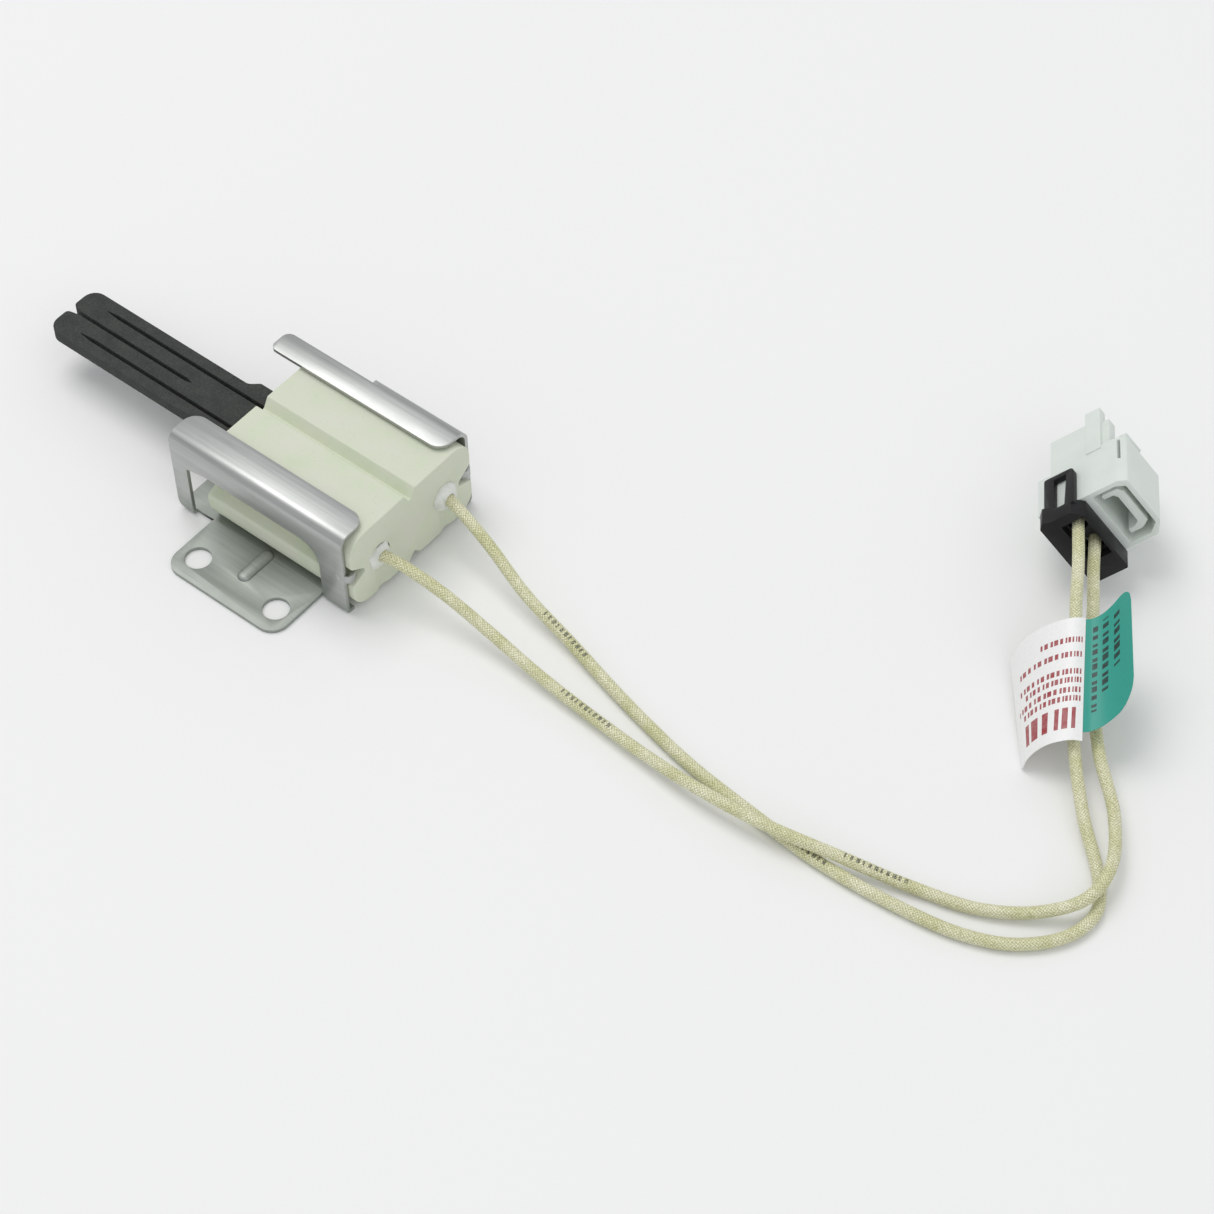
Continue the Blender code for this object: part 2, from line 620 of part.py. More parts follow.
def make_retainer(finish, frame):
    """The black lock over the wire end, with a slotted strap along the housing's side."""
    strap_inside = BODY_NEAR + GAP
    strap_outside = strap_inside + 1.1 * MM
    plate = rounded([
        (BODY_FAR - 0.7 * MM, -5.0 * MM, 0.5 * MM),
        (-4.6 * MM, -5.0 * MM, 0),
        (-4.6 * MM, -6.2 * MM, 0.3 * MM),
        (strap_outside - 0.6 * MM, -6.2 * MM, 0.5 * MM),
        (strap_outside + 0.6 * MM, -5.0 * MM, 0.3 * MM),
        (strap_outside, -3.6 * MM, 0),
        (strap_outside, 0.8 * MM, 0.3 * MM),
        (BODY_NEAR - 0.8 * MM, 3.0 * MM, 0.5 * MM),
        (BODY_FAR - 0.7 * MM, 3.0 * MM, 0.5 * MM),
    ], 3)
    piece = to_object("connector_retainer", prism(plate, "X", -4.6 * MM, -GAP), finish, frame)
    join(piece, block((-1.6 * MM, strap_inside, -4.9 * MM), (8.6 * MM, strap_outside, 1.7 * MM)))
    cut(piece, block((-1.2 * MM, strap_inside - 0.2 * MM, -2.7 * MM), (7.4 * MM, strap_outside + MM, 0.1 * MM)))
    cut(piece, block((-5.0 * MM, -5.4 * MM, -2.5 * MM), (-2.4 * MM, 5.0 * MM, 2.3 * MM)))
    for _, side_sign in LEADS:
        centre = (side_sign * CIRCUIT_OFFSET, 0)
        cut(piece, rod("X", centre, LEAD_DIAMETER / 2 + 0.8 * MM, -6 * MM, MM, 16))
    return piece


def make_latch(finish, frame):
    """The latch lever under the hood: a skirted thumb pad behind the pivot, a hook in front."""
    half = LATCH_HALF_WIDTH
    piece = to_object("connector_latch", prism(latch_side(), "Y", -half, half), finish, frame)
    join(piece, rod("Y", (0, 0), 0.9 * MM, -half - 1.6 * MM, half + 1.6 * MM, 16))
    join(piece, block((-7.8 * MM, -PAD_HALF_WIDTH, 0.8 * MM), (-2.6 * MM, PAD_HALF_WIDTH, 2.1 * MM)))
    for side in (-1, 1):
        skirt = sorted((side * PAD_HALF_WIDTH, side * (PAD_HALF_WIDTH - 0.9 * MM)))
        join(piece, block((-7.8 * MM, skirt[0], -1.9 * MM), (-2.6 * MM, skirt[1], 1.2 * MM)))
        ends = sorted((side * 2.6 * MM, side * (half + MM)))
        cut(piece, block((2.2 * MM, ends[0], -3 * MM), (12.5 * MM, ends[1], 6 * MM)))
    piece.location = LATCH_PIVOT
    return piece


def latch_side():
    """The lever's side view, about its pivot."""
    return rounded([
        (-7.8 * MM, 0.8 * MM, 0),
        (-4.0 * MM, 0.8 * MM, 0),
        (-0.8 * MM, -0.7 * MM, 0.3 * MM),
        (0.8 * MM, -0.7 * MM, 0.3 * MM),
        (4.0 * MM, 0.6 * MM, 0),
        (11.6 * MM, 0.6 * MM, 0.2 * MM),
        (11.6 * MM, 2.6 * MM, 0.2 * MM),
        (10.4 * MM, 1.7 * MM, 0),
        (0.0 * MM, 1.7 * MM, 0),
        (-3.6 * MM, 2.1 * MM, 0),
        (-5.6 * MM, 2.4 * MM, 0),
        (-7.8 * MM, 2.4 * MM, 0.3 * MM),
    ], 3)


def make_contact(name, y, finish, frame):
    """A socket contact: a folded box that grips the mating pin, and a crimp barrel."""
    half = 1.5 * MM
    piece = to_object(name, block((7.6 * MM, y - half, -half), (19.6 * MM, y + half, half)), finish, frame)
    hole = 1.1 * MM
    cut(piece, block((8.4 * MM, y - hole, -hole), (21.0 * MM, y + hole, hole)))
    join(piece, rod("X", (y, 0), 1.3 * MM, 3.4 * MM, 8.0 * MM, 16))
    cut(piece, rod("X", (y, 0), CORE_DIAMETER / 2 + 0.2 * MM, 2.0 * MM, 7.0 * MM, 16))
    return piece


def make_connector_core(name, y, finish, frame):
    return to_object(name, rod("X", (y, 0), CORE_DIAMETER / 2, 1.5 * MM, 6.6 * MM, 12), finish, frame)


def make_frame(name, location, rotation):
    frame = bpy.data.objects.new(name, None)
    bpy.context.collection.objects.link(frame)
    frame.location = location
    frame.rotation_euler = rotation
    return frame


# ---------------------------------------------------------------- assembly

def main():
    clear_scene()
    ceramic = material("cordierite_ceramic", (0.70, 0.72, 0.62), 0.75)
    carbide = material("silicon_carbide", (0.045, 0.048, 0.045), 0.85)
    cement = material("white_cement", (0.86, 0.86, 0.82), 0.9)
    steel = material("stainless_sheet", (0.62, 0.62, 0.61), 0.32, 1.0)
    nickel = material("nickel_plate", (0.66, 0.63, 0.57), 0.3, 1.0)
    copper = material("tinned_copper", (0.72, 0.66, 0.58), 0.35, 1.0)
    braid = material("glass_braid", (0.72, 0.68, 0.42), 0.8)
    nylon = material("grey_nylon", (0.72, 0.75, 0.72), 0.45)
    black_nylon = material("black_nylon", (0.02, 0.02, 0.022), 0.45)
    tin = material("tin_plate", (0.75, 0.75, 0.73), 0.3, 1.0)
    white_paper = material("white_paper", (0.86, 0.86, 0.86), 0.6)
    teal_paper = material("teal_paper", (0.03, 0.42, 0.33), 0.5)

    make_ceramic_block(ceramic)
    make_element(carbide)
    make_front_cement(cement)
    make_bracket(steel)
    for side, side_sign in LEADS:
        y = BLOCK_MID_Y + side_sign * LEAD_OFFSET
        collar, bulge = {"left": (2.7 * MM, 0.7 * MM), "right": (3.2 * MM, 1.7 * MM)}[side]
        make_rear_cement("rear_cement_" + side, y, collar, bulge, cement)
        make_terminal("element_terminal_" + side, side_sign, nickel)
        make_core_end("lead_core_" + side, side_sign, copper)
        make_lead("lead_" + side, side, braid)

    make_frame("label_frame", Vector((144.4, 74.2, 10.9)) * MM, Euler((0, math.radians(-14), math.radians(122))))
    white_profile = [(-3.1, 0.3), (-1.6, 1.7), (0.6, 1.9), (3.0, 1.6), (6.2, -0.4), (9.0, -3.6), (10.6, -6.4)]
    teal_profile = [(-4.0, -0.9), (-6.2, 0.5), (-8.6, 3.0), (-11.0, 6.2), (-12.6, 9.2)]
    make_label("white_label", white_profile, 31 * MM, 0.3 * MM, white_paper)
    make_label("teal_label", teal_profile, 27 * MM, 0.3 * MM, teal_paper)

    frame = make_frame("connector_frame", CONNECTOR_AT, CONNECTOR_TURN)
    make_housing(nylon, frame)
    make_retainer(black_nylon, frame)
    make_latch(nylon, frame)
    for side, side_sign in LEADS:
        y = side_sign * CIRCUIT_OFFSET
        make_contact("contact_" + side, y, tin, frame)
        make_connector_core("contact_core_" + side, y, copper, frame)


main()
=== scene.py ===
"""Visual model of the hot-surface igniter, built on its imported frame."""
import json
import math

import bmesh
import bpy
from mathutils import Euler, Matrix, Vector, noise

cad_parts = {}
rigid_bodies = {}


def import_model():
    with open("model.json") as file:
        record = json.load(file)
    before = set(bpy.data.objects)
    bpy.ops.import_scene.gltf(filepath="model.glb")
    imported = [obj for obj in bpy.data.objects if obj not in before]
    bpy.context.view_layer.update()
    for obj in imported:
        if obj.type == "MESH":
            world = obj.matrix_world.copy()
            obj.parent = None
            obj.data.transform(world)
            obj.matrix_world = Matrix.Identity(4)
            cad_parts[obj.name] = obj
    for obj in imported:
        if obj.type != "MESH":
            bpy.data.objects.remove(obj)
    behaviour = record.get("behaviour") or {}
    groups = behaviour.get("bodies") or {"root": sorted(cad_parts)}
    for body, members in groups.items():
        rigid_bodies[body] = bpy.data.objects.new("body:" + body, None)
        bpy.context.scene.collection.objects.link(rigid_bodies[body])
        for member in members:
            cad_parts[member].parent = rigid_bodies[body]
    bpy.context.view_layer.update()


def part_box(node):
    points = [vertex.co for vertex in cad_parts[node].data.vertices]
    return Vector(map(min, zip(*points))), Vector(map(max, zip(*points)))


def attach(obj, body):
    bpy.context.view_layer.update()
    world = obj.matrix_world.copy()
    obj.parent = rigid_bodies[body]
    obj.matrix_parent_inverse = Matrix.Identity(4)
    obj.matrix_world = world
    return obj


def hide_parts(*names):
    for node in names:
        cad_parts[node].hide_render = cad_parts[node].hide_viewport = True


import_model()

MM = 0.001
GAP = 0.3 * MM

# Driving sizes, beyond what the frame's own boxes give
SHEET = 0.8 * MM
HOLE_SPACING = 20.6 * MM
HOLE_RADIUS = 2.75 * MM
FLANGE_HALF_LENGTH = 14.7 * MM
FLANGE_CORNER = 3.8 * MM
LIP_WIDTH = 7.6 * MM
GROOVE_HALF_WIDTH = 1.6 * MM
GROOVE_DEPTH = 2.7 * MM
SLOT_HALF_WIDTH = 9.2 * MM
SLOT_HEIGHT = 5.4 * MM
CHANNEL_RADIUS = 2.8 * MM
LEAD_OFFSET = 9.4 * MM
LEAD_DIAMETER = 2.4 * MM
LEADS = (("left", -1), ("right", 1))

# Printing along the leads, in millimetres: a group of dashes comes every so often, up to an end
PRINT_EVERY = 65.0
PRINT_GROUP = 13.0
PRINT_END = 90.0
PRINT_START = {"left": 59.5, "right": 46.0}

# Connector frame: +X the mating direction, +Z towards the latch
CONNECTOR_AT = Vector((126.1, 104.6, 13.5)) * MM
CONNECTOR_TURN = Euler((math.radians(52.7), math.radians(9.2), math.radians(123.7)))
CIRCUIT_OFFSET = 2.9 * MM
BODY_LENGTH = 21.3 * MM
BODY_NEAR = 5.8 * MM
BODY_FAR = -9.6 * MM
BODY_BOTTOM = -4.5 * MM
BODY_TOP = 4.0 * MM
HOOD_LENGTH = 13.1 * MM
HOOD_TOP = 12.2 * MM
HOOD_WALL = 1.0 * MM
LATCH_PIVOT = Vector((8.6, -1.8, 7.5)) * MM
LATCH_HALF_WIDTH = 4.4 * MM
PAD_HALF_WIDTH = 5.4 * MM

# Label frame: +X along the leads towards the connector
LABEL_AT = Vector((144.4, 74.2, 10.9)) * MM
LABEL_TURN = Euler((0, math.radians(-14), math.radians(122)))

# Camera
CAMERA_AT = Vector((0.32856, -0.27633, 0.51243))
CAMERA_AZIMUTH = math.radians(40.31)
CAMERA_ELEVATION = math.radians(50.98)
CAMERA_ROLL = math.radians(-1.65)
CAMERA_LENS = 101.31


# ---- stage

def add_object(name, data):
    made = bpy.data.objects.new(name, data)
    bpy.context.collection.objects.link(made)
    return made


def make_camera():
    data = bpy.data.cameras.new("camera")
    data.sensor_width = 36
    data.lens = CAMERA_LENS
    data.clip_start = 0.01
    camera = add_object("camera", data)
    back = Vector((
        math.sin(CAMERA_AZIMUTH) * math.cos(CAMERA_ELEVATION),
        -math.cos(CAMERA_AZIMUTH) * math.cos(CAMERA_ELEVATION),
        math.sin(CAMERA_ELEVATION),
    ))
    turn = back.to_track_quat("Z", "Y").to_matrix().to_4x4()
    roll = Matrix.Rotation(CAMERA_ROLL, 4, "Z")
    camera.matrix_world = Matrix.Translation(CAMERA_AT) @ turn @ roll
    bpy.context.scene.camera = camera


def area_light(name, location, target, size, power, colour):
    data = bpy.data.lights.new(name, "AREA")
    data.shape = "RECTANGLE"
    data.size = size[0]
    data.size_y = size[1]
    data.energy = power
    data.color = colour
    light = add_object(name, data)
    light.location = location
    light.rotation_euler = (Vector(location) - Vector(target)).to_track_quat("Z", "Y").to_euler()


def make_stage():
    mesh = bpy.data.meshes.new("floor")
    reach = 3.0
    corners = [(-reach, -reach, 0), (reach, -reach, 0), (reach, reach, 0), (-reach, reach, 0)]
    mesh.from_pydata(corners, [], [(0, 1, 2, 3)])
    floor = add_object("floor", mesh)
    floor.location.z = -0.05 * MM
    mesh.materials.append(plain_floor())
    world = bpy.data.worlds.new("studio")
    world.use_nodes = True
    background = world.node_tree.nodes["Background"]
    background.inputs["Color"].default_value = (0.97, 0.985, 1.0, 1)
    background.inputs["Strength"].default_value = 0.60
    bpy.context.scene.world = world
    area_light("key", (-0.6, 0.15, 1.6), (0.05, 0.04, 0), (1.1, 1.0), 11.6, (1.0, 0.99, 0.97))
    area_light("fill", (0.9, -0.3, 0.9), (0.05, 0.04, 0), (1.2, 1.2), 2.6, (0.98, 0.99, 1.0))
    bpy.context.scene.view_settings.view_transform = "Standard"


# ---- materials

class Nodes:
    """Small helper that adds and links shader nodes."""

    def __init__(self, name):
        self.material = bpy.data.materials.new(name)
        self.material.use_nodes = True
        self.tree = self.material.node_tree
        self.shader = self.tree.nodes["Principled BSDF"]

    def add(self, kind, **settings):
        node = self.tree.nodes.new(kind)
        for key, value in settings.items():
            setattr(node, key, value)
        return node

    def link(self, source, target):
        self.tree.links.new(source, target)

    def fill(self, socket, value):
        """Sets a socket to a number or a colour, or links it to another node's output."""
        if isinstance(value, (int, float)):
            socket.default_value = value
        elif isinstance(value, tuple):
            socket.default_value = (*value, 1)
        elif value is not None:
            self.link(value, socket)

    def place(self, scale):
        """Object coordinates, stretched by a scale for each axis."""
        coordinates = self.add("ShaderNodeTexCoord")
        mapping = self.add("ShaderNodeMapping")
        mapping.inputs["Scale"].default_value = scale
        self.link(coordinates.outputs["Object"], mapping.inputs["Vector"])
        return mapping.outputs["Vector"]

    def sheet_place(self):
        """The two coordinates that the mesh itself carries."""
        coordinates = self.add("ShaderNodeTexCoord")
        split = self.add("ShaderNodeSeparateXYZ")
        self.link(coordinates.outputs["UV"], split.inputs[0])
        return split.outputs["X"], split.outputs["Y"]

    def noise(self, scale, detail=4, roughness=0.55, stretch=(1, 1, 1)):
        texture = self.add("ShaderNodeTexNoise")
        texture.inputs["Scale"].default_value = scale
        texture.inputs["Detail"].default_value = detail
        texture.inputs["Roughness"].default_value = roughness
        self.link(self.place(stretch), texture.inputs["Vector"])
        return texture.outputs["Fac"]

    def ramp(self, source, stops):
        node = self.add("ShaderNodeValToRGB")
        elements = node.color_ramp.elements
        elements[0].position, elements[0].color = stops[0][0], (*stops[0][1], 1)
        elements[1].position, elements[1].color = stops[-1][0], (*stops[-1][1], 1)
        for position, colour in stops[1:-1]:
            element = elements.new(position)
            element.color = (*colour, 1)
        self.link(source, node.inputs["Fac"])
        return node.outputs["Color"]

    def spread(self, source, low, high, start=0.3, end=0.7):
        """A value mapped from one range to another."""
        node = self.add("ShaderNodeMapRange")
        node.inputs["From Min"].default_value = start
        node.inputs["From Max"].default_value = end
        node.inputs["To Min"].default_value = low
        node.inputs["To Max"].default_value = high
        self.link(source, node.inputs["Value"])
        return node.outputs["Result"]

    def maths(self, operation, first, second=None):
        node = self.add("ShaderNodeMath", operation=operation)
        for socket, value in zip(node.inputs, (first, second)):
            self.fill(socket, value)
        return node.outputs[0]

    def product(self, first, *others):
        for other in others:
            first = self.maths("MULTIPLY", first, other)
        return first

    def wave(self, phase):
        """How far a sine of the phase is from zero, one hump for each unit."""
        return self.maths("ABSOLUTE", self.maths("SINE", self.maths("MULTIPLY", phase, math.pi)))

    def dashes(self, run, per_unit, shortest, spread):
        """A row of printed dashes of uneven length."""
        steps = self.maths("MULTIPLY", run, per_unit)
        uneven = self.maths("FRACT", self.maths("MULTIPLY", self.maths("FLOOR", steps), 0.37))
        longest = self.maths("ADD", shortest, self.maths("MULTIPLY", uneven, spread))
        return self.maths("LESS_THAN", self.maths("FRACT", steps), longest)

    def mix(self, factor, first, second, blend="MIX"):
        node = self.add("ShaderNodeMix", data_type="RGBA", blend_type=blend)
        for index, value in ((0, factor), (6, first), (7, second)):
            self.fill(node.inputs[index], value)
        return node.outputs[2]

    def bump(self, height, depth, strength=1.0, under=None):
        node = self.add("ShaderNodeBump")
        node.inputs["Strength"].default_value = strength
        node.inputs["Distance"].default_value = depth
        self.link(height, node.inputs["Height"])
        if under is not None:
            self.link(under, node.inputs["Normal"])
        return node.outputs["Normal"]

    def colour(self, source):
        self.link(source, self.shader.inputs["Base Color"])

    def rough(self, source):
        self.link(source, self.shader.inputs["Roughness"])

    def normal(self, source):
        self.link(source, self.shader.inputs["Normal"])

    def set(self, **values):
        for key, value in values.items():
            self.shader.inputs[key.replace("_", " ")].default_value = value


def plain_floor():
    m = Nodes("pale_floor")
    cloud = m.noise(2.0, 2)
    m.colour(m.ramp(cloud, [(0.3, (0.870, 0.872, 0.868)), (0.7, (0.885, 0.886, 0.882))]))
    m.set(Roughness=0.9)
    return m.material


def ceramic_material():
    m = Nodes("ceramic")
    patches = m.noise(140, 3)
    grain = m.noise(2600, 4, 0.6)
    body = m.ramp(patches, [
        (0.3, (0.62, 0.675, 0.52)),
        (0.5, (0.655, 0.69, 0.56)),
        (0.7, (0.675, 0.69, 0.585)),
    ])
    fleck = m.ramp(grain, [(0.27, (0.50, 0.50, 0.42)), (0.36, (1, 1, 1))])
    m.colour(m.mix(0.5, body, fleck, "MULTIPLY"))
    m.rough(m.spread(patches, 0.62, 0.78))
    pores = m.bump(grain, 0.00004, 0.5)
    m.normal(m.bump(m.noise(300, 3), 0.00012, 0.4, pores))
    m.set(Subsurface_Weight=0.06, Subsurface_Scale=0.002, Specular_IOR_Level=0.35)
    m.shader.inputs["Subsurface Radius"].default_value = (1.0, 0.95, 0.8)
    return m.material


def carbide_material():
    m = Nodes("carbide")
    grain = m.noise(3200, 6, 0.7)
    cloud = m.noise(260, 4, 0.6)
    body = m.ramp(cloud, [(0.3, (0.040, 0.046, 0.043)), (0.7, (0.062, 0.066, 0.062))])
    glint = m.ramp(grain, [
        (0.35, (0.55, 0.55, 0.55)),
        (0.62, (1.15, 1.15, 1.12)),
        (0.74, (2.2, 2.2, 2.1)),
    ])
    m.colour(m.mix(1.0, body, glint, "MULTIPLY"))
    m.rough(m.spread(grain, 0.72, 0.95))
    m.normal(m.bump(grain, 0.00012, 0.75))
    m.set(Specular_IOR_Level=0.35)
    return m.material


def cement_material():
    m = Nodes("cement")
    grain = m.noise(1500, 6, 0.65)
    lumps = m.noise(420, 4, 0.6)
    m.colour(m.ramp(lumps, [
        (0.3, (0.62, 0.64, 0.58)),
        (0.55, (0.80, 0.81, 0.77)),
        (0.75, (0.86, 0.86, 0.84)),
    ]))
    m.rough(m.spread(grain, 0.8, 0.95))
    m.normal(m.bump(grain, 0.0001, 0.6, m.bump(lumps, 0.0003, 0.6)))
    return m.material


def steel_material():
    """Satin rolled sheet: faint rolling lines along X, soft clouds, fine scratches, and a rougher foot
    darkened with painted shade.
    """
    foot, above_foot = 0.001, 0.006
    m = Nodes("steel")
    rolled = m.noise(1400, 3, 0.6, (0.02, 1, 1))
    cloud = m.noise(110, 3)
    scratches = m.noise(2600, 2, 0.5, (0.03, 1, 0.4))
    sheet = m.ramp(rolled, [(0.25, (0.42, 0.43, 0.42)), (0.75, (0.54, 0.55, 0.54))])
    marks = m.ramp(scratches, [(0.24, (0.72, 0.72, 0.72)), (0.32, (1, 1, 1))])
    split = m.add("ShaderNodeSeparateXYZ")
    m.link(m.place((1, 1, 1)), split.inputs[0])
    height = split.outputs["Z"]
    lifted = m.spread(height, 0, 1, foot, above_foot)
    # painted shade: the colour darkens over the lowest few millimetres (flange, base and the walls'
    # foot), standing in for the shade there
    foot_shade = m.ramp(lifted, [(0.0, (0.80, 0.83, 0.79)), (1.0, (1, 1, 1))])
    m.colour(m.mix(1.0, m.mix(0.7, sheet, marks, "MULTIPLY"), foot_shade, "MULTIPLY"))
    satin = m.maths("ADD", m.spread(rolled, 0.37, 0.45), m.spread(cloud, -0.03, 0.04))
    m.rough(m.maths("ADD", satin, m.spread(height, 0.16, 0.0, foot, above_foot)))
    m.normal(m.bump(rolled, 0.000004, 0.3, m.bump(cloud, 0.00002, 0.1)))
    m.set(Metallic=1.0)
    return m.material


def plated_material(name, light, dark):
    m = Nodes(name)
    smear = m.noise(1200, 4, 0.6, (0.2, 1, 1))
    m.colour(m.ramp(smear, [(0.3, dark), (0.7, light)]))
    m.rough(m.spread(smear, 0.22, 0.4))
    m.normal(m.bump(smear, 0.00002, 0.4))
    m.set(Metallic=1.0)
    return m.material


def nylon_material():
    m = Nodes("grey_nylon")
    cloud = m.noise(160, 3)
    texture = m.noise(5200, 3)
    m.colour(m.ramp(cloud, [(0.3, (0.69, 0.74, 0.695)), (0.7, (0.73, 0.775, 0.735))]))
    m.rough(m.spread(cloud, 0.40, 0.52))
    m.normal(m.bump(texture, 0.00002, 0.35, m.bump(m.noise(240, 2), 0.0001, 0.15)))
    m.set(Subsurface_Weight=0.10, Subsurface_Scale=0.002, Specular_IOR_Level=0.4)
    m.shader.inputs["Subsurface Radius"].default_value = (1.0, 1.0, 0.9)
    return m.material


def black_nylon_material():
    m = Nodes("black_nylon")
    cloud = m.noise(300, 4)
    m.colour(m.ramp(cloud, [(0.3, (0.005, 0.005, 0.006)), (0.7, (0.010, 0.010, 0.011))]))
    m.rough(m.spread(cloud, 0.38, 0.55))
    m.normal(m.bump(m.noise(3600, 3), 0.00003, 0.4))
    m.set(Specular_IOR_Level=0.3)
    return m.material


def braid_material():
    """Two crossing sets of fine glass yarns under a thin lacquer, with a row of printed dashes."""
    m = Nodes("glass_braid")
    yarns_around = 11.0
    yarns_each_mm = 1.55
    turn, length = m.sheet_place()
    around = m.product(turn, yarns_around)
    along = m.product(length, yarns_each_mm)
    rising = m.maths("ADD", around, along)
    falling = m.maths("SUBTRACT", around, along)
    parity = m.maths("ADD", m.maths("FLOOR", rising), m.maths("FLOOR", falling))
    rising_on_top = m.maths("LESS_THAN", m.wave(m.product(parity, 0.5)), 0.5)
    falling_on_top = m.maths("SUBTRACT", 1.0, rising_on_top)
    first = m.product(m.wave(rising), rising_on_top)
    second = m.product(m.wave(falling), falling_on_top)
    weave = m.maths("ADD", first, second)
    fibres = m.noise(9000, 3)
    patch = m.noise(160, 3)
    # weave pattern with painted shade: darkest at the yarns' edges where they dip under each other,
    # lightest on their crowns
    base = m.ramp(weave, [
        (0.0, (0.44, 0.425, 0.23)),
        (0.45, (0.70, 0.685, 0.47)),
        (1.0, (0.90, 0.89, 0.72)),
    ])
    stain = m.ramp(patch, [(0.35, (0.84, 0.85, 0.70)), (0.65, (1.0, 1.0, 1.0))])
    speck = m.ramp(m.noise(3600, 3, 0.6), [
        (0.36, (0.70, 0.69, 0.52)),
        (0.52, (0.98, 0.98, 0.96)),
        (0.66, (1.2, 1.2, 1.25)),
    ])
    glass = m.mix(1.0, m.mix(1.0, base, stain, "MULTIPLY"), speck, "MULTIPLY")
    m.colour(m.mix(print_on_lead(m, turn, length, fibres), glass, (0.05, 0.055, 0.045)))
    m.rough(m.spread(fibres, 0.5, 0.7))
    m.normal(m.bump(fibres, 0.00002, 0.4, m.bump(weave, 0.0001, 0.7)))
    m.set(Sheen_Weight=0.1, Coat_Weight=0.1, Coat_Roughness=0.35)
    return m.material


def print_on_lead(m, turn, length, fibres):
    """A short row of plain ink dashes, repeated along the top of the braid."""
    half_turn_away = m.maths("FRACT", m.maths("ADD", turn, 0.5))
    off_top = m.maths("ABSOLUTE", m.maths("SUBTRACT", half_turn_away, 0.5))
    in_row = m.maths("LESS_THAN", off_top, 0.07)
    place = m.maths("MODULO", m.maths("ADD", length, PRINT_EVERY), PRINT_EVERY)
    in_group = m.maths("LESS_THAN", place, PRINT_GROUP)
    before_end = m.maths("LESS_THAN", length, PRINT_END)
    dash = m.dashes(place, 0.85, 0.3, 0.4)
    worn = m.maths("GREATER_THAN", fibres, 0.46)
    return m.product(in_row, in_group, before_end, dash, worn)


def printed_paper_material(name, paper, ink, rows, across_leads):
    """Label stock with rows of plain printed dashes, placed by the sheet's own coordinates."""
    m = Nodes(name)
    run, across = m.sheet_place()
    if not across_leads:
        run, across = across, run
    printed = None
    for centre, height, first, last, dashes in rows:
        offset = m.maths("ABSOLUTE", m.maths("SUBTRACT", across, centre))
        inside = m.maths("LESS_THAN", offset, height / 2)
        started = m.maths("GREATER_THAN", run, first)
        open_end = m.maths("LESS_THAN", run, last)
        mark = m.product(inside, m.dashes(run, dashes, 0.35, 0.45), started, open_end)
        printed = mark if printed is None else m.maths("MAXIMUM", printed, mark)
    fibre = m.noise(1800, 4)
    stock = m.ramp(fibre, [(0.3, tuple(0.94 * c for c in paper)), (0.7, paper)])
    wear = m.spread(m.noise(1100, 3), 0.85, 1.0)
    m.colour(m.mix(m.product(printed, wear), stock, ink))
    m.rough(m.spread(fibre, 0.42, 0.55))
    m.normal(m.bump(fibre, 0.00002, 0.3))
    m.set(Coat_Weight=0.15, Coat_Roughness=0.3)
    return m.material


# ---- mesh tools

def to_object(name, bm, finish=None, parent=None):
    bmesh.ops.recalc_face_normals(bm, faces=bm.faces)
    mesh = bpy.data.meshes.new(name)
    bm.to_mesh(mesh)
    bm.free()
    piece = add_object(name, mesh)
    if finish:
        mesh.materials.append(finish)
    if parent:
        piece.parent = parent
    return piece


def arc(centre, radius, start, end, steps):
    """Points from one angle to another, in degrees."""
    points = []
    for step in range(steps + 1):
        angle = math.radians(start + (end - start) * step / steps)
        points.append((centre[0] + radius * math.cos(angle), centre[1] + radius * math.sin(angle)))
    return points


def rounded(corners, steps=6):
    """An outline from (x, y, radius) corners, each turned into an arc."""
    outline = []
    count = len(corners)
    for index, (x, y, radius) in enumerate(corners):
        here = Vector((x, y))
        if radius == 0:
            outline.append((x, y))
            continue
        back = (Vector(corners[index - 1][:2]) - here).normalized()
        ahead = (Vector(corners[(index + 1) % count][:2]) - here).normalized()
        half_angle = back.angle(ahead) / 2
        centre = here + (back + ahead).normalized() * radius / math.sin(half_angle)
        first = here + back * radius / math.tan(half_angle) - centre
        last = here + ahead * radius / math.tan(half_angle) - centre
        sweep = first.angle_signed(last)
        for step in range(steps + 1):
            spoke = first.copy()
            spoke.rotate(Matrix.Rotation(-sweep * step / steps, 2))
            outline.append(tuple(centre + spoke))
    return outline


def skin(bm, rings):
    """Faces between each ring of vertices and the next."""
    for ring, after in zip(rings, rings[1:]):
        for index in range(len(ring)):
            beside = (index + 1) % len(ring)
            bm.faces.new((ring[index], ring[beside], after[beside], after[index]))


def prism(outline, axis, low, high):
    """A closed outline extruded along one axis: in YZ for X, in XZ for Y, in XY for Z."""
    place = {
        "X": lambda u, v, w: (w, u, v),
        "Y": lambda u, v, w: (u, w, v),
        "Z": lambda u, v, w: (u, v, w),
    }[axis]
    bm = bmesh.new()
    bottom = [bm.verts.new(place(u, v, low)) for u, v in outline]
    top = [bm.verts.new(place(u, v, high)) for u, v in outline]
    bm.faces.new(bottom)
    bm.faces.new(top)
    skin(bm, [bottom, top])
    return bm


def stack(outlines):
    """A closed solid through outlines of equal length, each given with its height."""
    bm = bmesh.new()
    rings = [[bm.verts.new((x, y, z)) for x, y in outline] for outline, z in outlines]
    skin(bm, rings)
    bm.faces.new(rings[0])
    bm.faces.new(rings[-1])
    return bm


def block(low, high):
    outline = [(low[0], low[1]), (high[0], low[1]), (high[0], high[1]), (low[0], high[1])]
    return prism(outline, "Z", low[2], high[2])


def rod(axis, centre, radius, low, high, sides=40):
    return prism(arc(centre, radius, 0, 360 - 360 / sides, sides - 1), axis, low, high)


